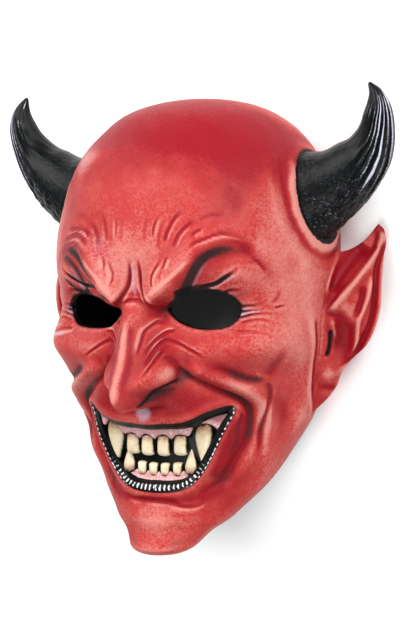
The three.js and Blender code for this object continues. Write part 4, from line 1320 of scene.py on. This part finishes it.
line = np.array(HORN_LINE, float)
along = np.gradient(line, axis=0)
along /= np.linalg.norm(along, axis=-1, keepdims=True)
face_way = np.array([0.0, 0.0, 1.0]) - along * along[:, 2:]
face_way /= np.linalg.norm(face_way, axis=-1, keepdims=True)
up_way = np.cross(face_way, along)
number = np.arange(len(line))
oval = 1 - 0.1 * step(3, 0, number)
turn = np.linspace(0, 2 * math.pi, HORN_SIDES, endpoint=False)
rings = line[:, None] + np.array(HORN_RADIUS)[:, None, None] * (
    up_way[:, None] * np.cos(turn)[None, :, None]
    + face_way[:, None] * (oval[:, None] * np.sin(turn))[..., None]
)
foot_y = HORN_FOOT["up"] + HORN_FOOT["half_up"] * np.cos(turn)
foot_z = HORN_FOOT["out"] + HORN_FOOT["half_out"] * np.sin(turn)
foot = np.stack([side_of(foot_y, foot_z) - FOOT_SUNK, foot_y, foot_z], axis=-1)
rings[0] = foot
q = np.linspace(0, 1, HORN_RINGS) ** CLOSER_AT_TIP * (len(rings) - 1)
horn = np.stack([
    np.stack([curve(number, rings[:, k, c], q) for k in range(HORN_SIDES)], axis=1)
    for c in range(3)
], axis=-1)
radial = horn - horn.mean(axis=1, keepdims=True)
radius = np.linalg.norm(radial, axis=-1)
radial /= np.maximum(radius, 1e-6)[..., None]
print("horn's radius, mm:", radius[::HORN_RINGS // 4].mean(axis=1).round(1))

# %% [markdown]
# Long grooves run up the outer side and the foot is lumpy. The relief is read through two numbers,
# the angle round the horn and the share along it. A groove is a bell across the angle that sways as
# it climbs, and a streak of grey white lies beside it, dry-brushed where a brush would catch and
# also a painted highlight in place of the gloss, strongest on the outer side. A glint is a painted
# highlight of that white on its own: on the edges near the tip, and a soft sheen below them.

# %% Grooves, streaks and the lumpy foot
HORN_GROOVES = [
    # angle round the horn in degrees, where it starts and ends along it, depth
    (42, 0.62, 1.02, 0.7), (66, 0.5, 0.98, 0.8), (94, 0.34, 0.8, 0.9), (109, 0.2, 0.95, 0.9),
    (121, 0.14, 0.9, 1.0), (136, 0.08, 0.93, 1.0), (152, 0.14, 0.88, 0.8), (172, 0.08, 0.9, 0.9),
    (203, 0.2, 0.85, 0.8), (228, 0.3, 0.9, 0.8), (255, 0.35, 0.9, 0.7), (288, 0.4, 0.9, 0.6),
    (320, 0.45, 0.95, 0.6), (5, 0.5, 0.95, 0.6),
]
GLINTS = [
    # strength, angle round the horn in degrees, half width, share along it, half length
    (0.9, 172, 0.2, 0.8, 0.1), (1.0, 52, 0.12, 0.93, 0.06), (0.5, 70, 0.25, 0.7, 0.08),
]

far = np.broadcast_to((q / q[-1])[:, None], radius.shape)
round_turn = np.broadcast_to(turn, radius.shape)
cx = np.cos(round_turn)
place = np.moveaxis(horn, -1, 0)
sway = 0.12 * np.sin(5.0 * far + 2.0 * cx) + 0.03 * ripple(*place, 51, 12)


def turned_from(degrees, sway=0.0):
    """How far round from an angle each point is, between -pi and pi."""
    return (round_turn + sway - math.radians(degrees) + math.pi) % (2 * math.pi) - math.pi


grooves = np.zeros(radius.shape)
streak = np.zeros(radius.shape)
# beside each groove a dry-brushed streak that is also painted highlight, brightest on the outer
# side
for degrees, start, end, deep in HORN_GROOVES:
    apart = turned_from(degrees, sway)
    reach_along = step(start, start + 0.16, far) * step(end, end - 0.12, far)
    grooves += deep * bell(apart, 0.055 + 0.03 * far) * reach_along
    shine = (1.0 + 0.35 * np.sin(8 * far + degrees)) * (0.15 + 0.85 * step(0.3, -0.2, cx))
    brush = 0.05 + 0.02 * np.sin(11 * far + degrees)
    streak += deep * shine * bell(apart - 0.13, brush) * reach_along
# the glints are painted highlights: the edges near the tip, and a soft sheen below
for strong, degrees, half_width, at, half_length in GLINTS:
    streak += strong * bell(turned_from(degrees), half_width) * bell(far - at, half_length)
flutes = bell(np.sin(9 * (round_turn + sway)), 0.5) * step(0.1, 0.5, far)
lumps = ripple(*place, 52, 7) + 0.7 * ripple(*place, 53, 3)
rough_foot = step(0.36, 0.03, far) * (0.2 + 0.8 * step(0.1, -0.8, cx))
horn_relief = radius * (0.02 * flutes + 0.03 * streak - 0.095 * grooves) + 0.5 * lumps * rough_foot
horn_relief *= step(1.0, 0.93, far) * step(0.0, 0.04, far)
horn = horn + radial * horn_relief[..., None]
horn_points, horn_faces = closed_tube(horn, foot.mean(0) + (2, 0, 0), horn[-1].mean(0) + along[-1])
horn_values = {
    "hollow": np.append(grooves, [0, 0]), "streak": np.append(streak, [0, 0]),
    "far": np.append(far, [0, 1]), "stipple": np.append(rough_foot, [0, 0]),
}
horns = [
    add_mesh("horn_left", horn_points, horn_faces, horn_values),
    add_mesh("horn_right", *mirrored(horn_points, horn_faces), horn_values),
]
print("horn, cm3:", round(enclosed(horn_points, horn_faces) / 1000, 1))

# %% [markdown]
# ## Teeth
# Four front teeth and two fangs above, four small teeth and two fangs below. Each is a ball pressed
# into a rounded block: its width follows a profile from root to edge, straight for a front tooth
# and drawn to a point for a fang. The root is sunk in the gum.

# %% The teeth
TEETH = [
    # across, root, edge, half width at root, half width at edge, lean, height, fang
    (5.5, -73.6, -87.6, 3.9, 4.6, 0.0, 3.6, 0),
    (16.6, -73.2, -87.0, 4.1, 4.8, -0.3, 3.6, 0),
    (30.8, -65.0, -92.5, 6.2, 0.6, -1.2, 5.4, 1),
    (3.9, -100.6, -91.8, 2.6, 3.5, 0.2, 3.0, 0),
    (12.0, -100.2, -91.2, 2.6, 3.5, 0.4, 3.0, 0),
    (21.4, -99.4, -82.6, 4.2, 0.5, 0.2, 4.6, 1),
]
TOOTH_SUNK, TOOTH_PROUD = 2.0, 0.6
TOOTH_SIDES, TOOTH_RINGS = 40, 36
TOOTH_PRESS = 0.75
TOOTH_CAP, FANG_CAP = 7.0, 9.0
FANG_AT, FANG_WIDTH = [0, 0.12, 0.35, 0.6, 0.85, 1], [0.58, 0.84, 1.0, 0.74, 0.32, 0.06]


def front_of(across, up):
    """How far out of the face the bare head stands at a place across and up."""
    b = (up - HEAD_MIDDLE) / HEAD_HALF_HEIGHT
    a = across / curve(share, width, b)
    return curve(share, WIDEST_DEPTH, b) + curve(share, depth, b) * np.sqrt(1 - b * b - a * a)


def pressed(wave):
    """A sine or cosine flattened towards a square: sign times |wave|^press."""
    return np.sign(wave) * np.abs(wave) ** TOOTH_PRESS


def tooth(across, root, edge, half_root, half_edge, lean, height, fang):
    """Rings from root to edge. A ring is a flattened superellipse; the half width goes from one
    end's to the other's and closes with a rounded cap, or in a slow curve for a fang."""
    r = 0.5 - 0.5 * np.cos(np.linspace(0.0, np.pi, TOOTH_RINGS))[:, None]
    angle = np.linspace(0, 2 * math.pi, TOOTH_SIDES, endpoint=False)[None, :]
    if fang:
        half, fall = half_root * curve(FANG_AT, FANG_WIDTH, r), 1 - 0.55 * r
    else:
        half = half_root + (half_edge - half_root) * r
        fall = 0.75 + 0.25 * np.sin(np.pi * r)
    cap = (1 - np.abs(2 * r - 1) ** (FANG_CAP if fang else TOOTH_CAP)) ** 0.5
    ring_x = half * cap * pressed(np.cos(angle))
    bulge = cap * pressed(np.sin(angle))
    bulge = bulge * np.where(bulge > 0, height, TOOTH_SUNK) * fall
    floor = front_of(across, (root + edge) / 2) - MOUTH_RECESS + TOOTH_PROUD
    middle_y = np.broadcast_to(root + (edge - root) * r, bulge.shape)
    rings = np.stack([across + ring_x + lean * r, middle_y, floor + bulge], axis=-1)
    points, faces = closed_tube(rings, rings[0].mean(0), rings[-1].mean(0))
    values = {
        "along": np.append(np.broadcast_to(r, bulge.shape), [0, 1]),
        "off": np.append(ring_x / np.maximum(half, 0.3), [0, 0]),
    }
    return points, faces, values


def join(parts):
    """Several closed meshes as one list of points, faces and values."""
    blocks, faces, values = zip(*parts)
    starts = np.cumsum([0] + [len(points) for points in blocks])
    all_faces = [block + start for start, some in zip(starts, faces) for block in some]
    all_values = {key: np.concatenate([some[key] for some in values]) for key in values[0]}
    return np.vstack(blocks), all_faces, all_values


teeth = []
for name, rows in (("teeth_upper", TEETH[:3]), ("teeth_lower", TEETH[3:])):
    parts = []
    for points, faces, values in (tooth(*row) for row in rows):
        parts += [(points, faces, values), (*mirrored(points, faces), values)]
    teeth.append(add_mesh(name, *join(parts)))
    print(name, len(parts), "teeth")

# %% [markdown]
# ## The paint itself
# Red first, clouded so it isn't flat. Then crimson, pale pink and soot go on where their fields are
# strong, each broken up by a grain, the way a dry brush and an airbrush leave specks.

# %% Red, crimson, pink and soot


def srgb(red, green, blue):
    """A screen colour, 0 to 255, as the linear shares that light is reckoned in."""
    shares = np.array([red, green, blue]) / 255.0
    linear = np.where(shares <= 0.04045, shares / 12.92, ((shares + 0.055) / 1.055) ** 2.4)
    return tuple(float(value) for value in linear)


SALMON, ROSE = srgb(164, 38, 37), srgb(176, 78, 72)
CRIMSON, WINE, PINK = srgb(134, 10, 24), srgb(62, 8, 18), srgb(204, 140, 130)
SOOT, INK, LILAC = srgb(36, 30, 31), srgb(8, 9, 9), srgb(182, 158, 172)
SKIN_GLOSS = 0.14

p = Paint("red_latex")
cloud, blot = p.noise(26, 3, 0.6), p.noise(7, 3, 0.65)
grain, speck = p.noise(2.0, 3, 0.7), p.noise(1.2, 2, 0.7)
scatter = (grain - 0.5) * 1.2 + (speck - 0.5) * 1.2
clouds = (cloud - 0.5) * 1.2 + (blot - 0.5) * 0.8
hollow, broad = p.field("hollow"), p.field("broad")
colour = p.mix(p.smooth(clouds * 0.8 + scatter * 1.5, -0.4, 0.6), SALMON, ROSE)
red = p.field("crimson") * 0.85 + broad * 0.22 + hollow * 1.2 + scatter * 0.8 - clouds * 0.3
colour = p.mix(p.smooth(red, 0.0, 1.1), colour, CRIMSON)
ridges = p.field("pale") * 0.9 - hollow * 2.1 - broad * 0.1 + scatter * 0.6 + clouds * 0.2 - 0.12
ridges = ridges - p.field("crimson") * 0.7
colour = p.mix(ridges.held() * 0.7, colour, PINK)
grooves = p.smooth(hollow + scatter * 0.06, 0.08, 0.42)
colour = p.mix(grooves * 0.7, colour, CRIMSON)
colour = p.mix(p.smooth(hollow, 0.3, 0.9) * 0.6, colour, WINE)
lilac = p.smooth(p.field("lilac") + scatter * 0.4, 0.15, 0.95)
colour = p.mix(lilac * 0.75, colour, LILAC)
soot = p.smooth(p.field("soot") + scatter * 0.55, 0.12, 1.2)
colour = p.mix(soot * 0.95, colour, SOOT)
ink = p.smooth(p.field("ink") + scatter * 0.3, 0.25, 0.8)
colour = p.mix(ink * 0.95, colour, INK)
specks = p.smooth(speck + (grain - 0.5) * 0.6, 0.66, 0.78)
colour = p.mix(specks * 0.4, colour, WINE)
ragged = p.smooth((grain - 0.5) * 3.2 + 1.3 - p.field("foot"), -0.2, 0.3)
colour = p.mix(ragged, colour, INK)
print("red latex so far:", len(p.tree.nodes), "nodes")

# %% [markdown]
# The mouth's black, the gums, the white ribs of the lower lip and the dashes along its edge come
# last, cut from the distances to the lip lines so that their edges are sharp. The dashes and ribs
# are waves along the lip, shaken by the grain so that no two are alike.

# %% The mouth, the eye holes and the inside
GUM, GUM_EDGE, MAUVE = srgb(194, 146, 147), srgb(232, 208, 206), srgb(146, 100, 102)
DASH, SHADED_INSIDE = srgb(232, 232, 236), srgb(12, 9, 9)
DASH_LENGTH, RIB_LENGTH = 3.4, 3.2

lip, panel, run = p.field("lip"), p.field("panel"), p.field("run")
black = p.smooth(lip + scatter * 0.7, -0.25, 0.35)
gum_here = p.smooth(p.field("gum") + scatter * 0.25, 0.5, 0.66)
gum_colour = p.mix(p.smooth(scatter, 0.02, 0.35), GUM, GUM_EDGE)
in_corner = p.smooth(p.field("corner") + scatter * 0.2, 0.1, 0.5)
mouth = p.mix(gum_here, INK, p.mix(in_corner, gum_colour, MAUVE))
wave = p.math("SINE", run * (2 * math.pi / DASH_LENGTH) + (grain - 0.5) * 5.0)
edge_line = p.smooth(lip, 0.25, 0.5) * p.smooth(lip * -1.0, -1.05, -0.7)
edge_dash = p.smooth(wave * 0.6 + (blot - 0.5) * 2.5 + scatter * 2.6, -0.2, 0.3) * edge_line
shaken = run * (2 * math.pi / RIB_LENGTH) + (grain - 0.5) * 2.2 + (blot - 0.5) * 4.0
in_band = p.smooth(lip, 1.3, 1.9) * p.smooth(panel * -1.0, 0.9, 1.6)
ribs = p.smooth(p.math("SINE", shaken) + scatter * 1.4, 0.35, 0.95) * in_band * p.field("ribs")
mouth = p.mix((edge_dash * p.field("dashes") + ribs).held() * 0.85, mouth, DASH)
colour = p.mix(black, colour, mouth)
colour = p.mix(p.smooth(p.field("eye"), 0.0, 0.35), colour, INK)
# The inside is painted near black, a painted shade, so that the eye holes read dark.
inside = p.field("inside")
colour = p.mix(p.smooth(inside, 0.05, 0.6), colour, SHADED_INSIDE)

rough = 0.5 + (grain - 0.5) * 0.3 - black * 0.16 + soot * 0.1 + inside * 0.4
pores = p.bump(speck, 0.2, 0.8)
normal = p.bump(p.noise(4.0, 3, 0.6), 0.35, 0.45, Normal=pores)
red_pieces = [skin_piece, *ears]
p.coat(red_pieces, Base_Color=colour, Roughness=rough.held(), Normal=normal,
       Specular_IOR_Level=SKIN_GLOSS)
for piece in red_pieces:
    settle(piece)

# %% [markdown]
# The horns are near black with a satin gloss. Grey white is dry-brushed along the streaks, where it
# is also painted highlight, and dabbed on the lumps of the foot.

# %% Horn black
BLACK, GREY, CHALK_AND_HIGHLIGHT = srgb(6, 8, 9), srgb(40, 43, 50), srgb(205, 205, 222)

p = Paint("horn_black")
grain, speck = p.noise(1.8, 3, 0.7), p.noise(0.9, 2, 0.7)
groove, far_along, streak = p.field("hollow"), p.field("far"), p.field("streak")
scatter = (grain - 0.5) * 1.4 + (speck - 0.5) * 1.0
foot_chalk = p.field("stipple") * p.smooth(scatter, 0.2, 0.5)
# grey white along the streaks: dry brush and painted highlight
brushed_and_highlit = p.smooth(streak + scatter * 0.5 - groove * 0.8, 0.3, 0.9)
colour = p.mix(p.smooth(scatter, 0.1, 0.6) * 0.25, BLACK, GREY)
colour = p.mix(brushed_and_highlit * 0.85, colour, CHALK_AND_HIGHLIGHT)
colour = p.mix(foot_chalk * 0.35, colour, CHALK_AND_HIGHLIGHT)
rough = 0.34 + scatter * 0.14 + foot_chalk * 0.2
height = p.noise(1.6, 3, 0.6) * p.smooth(0.5 - far_along, 0.0, 0.5)
p.coat(horns, Base_Color=colour, Roughness=rough.held(), Normal=p.bump(height, 0.5, 0.8),
       Specular_IOR_Level=SKIN_GLOSS)
for piece in horns:
    settle(piece)

# %% [markdown]
# The teeth are ivory, patched with cream, brown towards the root and nearly black where they meet
# the gum and each other, as a dark wash settles there.

# %% Tooth ivory
IVORY, CREAM = srgb(209, 196, 167), srgb(202, 168, 124)
ROOT, STAIN = srgb(140, 92, 62), srgb(16, 13, 12)

p = Paint("tooth_ivory")
grain, patch = p.noise(1.6, 3, 0.6), p.noise(5.0, 2, 0.6)
along_tooth = p.field("along") + (grain - 0.5) * 0.24
colour = p.mix(p.smooth(patch + (grain - 0.5) * 0.3, 0.45, 0.7) * 0.55, IVORY, CREAM)
colour = p.mix(p.smooth(0.46 - along_tooth, 0.0, 0.36) * 0.95, colour, ROOT)
colour = p.mix(p.smooth(0.17 - along_tooth, 0.0, 0.08), colour, STAIN)
off_side = p.math("ABSOLUTE", p.field("off")) + (grain - 0.5) * 0.2
colour = p.mix(p.smooth(off_side, 0.82, 0.97), colour, STAIN)
p.coat(teeth, Base_Color=colour, Roughness=0.32)
for piece in teeth:
    settle(piece)

# %% [markdown]
# The mask lies on a plain pale floor under three large soft boxes, as in a product studio: two from
# the crown's side, left and right, and a weaker one from the chin's.

# %% Floor and lights
FLOOR_HALF = 3.0
corners = [(-1, -1, 0), (1, -1, 0), (1, 1, 0), (-1, 1, 0)]
floor_mesh = bpy.data.meshes.new("floor")
floor_mesh.from_pydata((np.array(corners) * FLOOR_HALF).tolist(), [], [(0, 1, 2, 3)])
floor = bpy.data.objects.new("floor", floor_mesh)
bpy.context.scene.collection.objects.link(floor)
Paint("pale_floor").coat([floor], Base_Color=(0.94, 0.94, 0.94), Roughness=0.9)


def add_light(name, place, size_m, power):
    """A square soft box, aimed at the middle of the face from a place in face millimetres."""
    data = bpy.data.lights.new(name, "AREA")
    data.size = size_m
    data.energy = power
    light = bpy.data.objects.new(name, data)
    where = Vector(in_frame(place))
    aim = where - Vector(in_frame((0, -10, 0)))
    turn = aim.to_track_quat("Z", "Y").to_matrix().to_4x4()
    light.matrix_world = Matrix.Translation(where) @ turn
    bpy.context.scene.collection.objects.link(light)


for soft_box in [
    # name, place in face millimetres, width in metres, watts
    ("left_box", (-900, 1000, 1300), 1.4, 41),
    ("right_box", (1200, 950, 1050), 1.0, 36),
    ("low_box", (200, -1250, 1600), 1.2, 22.5),
]:
    add_light(*soft_box)
    print(soft_box[0], "lit with", soft_box[3], "W")
world = bpy.data.worlds.new("studio")
world.use_nodes = True
background = world.node_tree.nodes["Background"]
background.inputs["Color"].default_value = (1, 1, 1, 1)
background.inputs["Strength"].default_value = 0.2
bpy.context.scene.world = world
bpy.context.scene.view_settings.view_transform = "Standard"
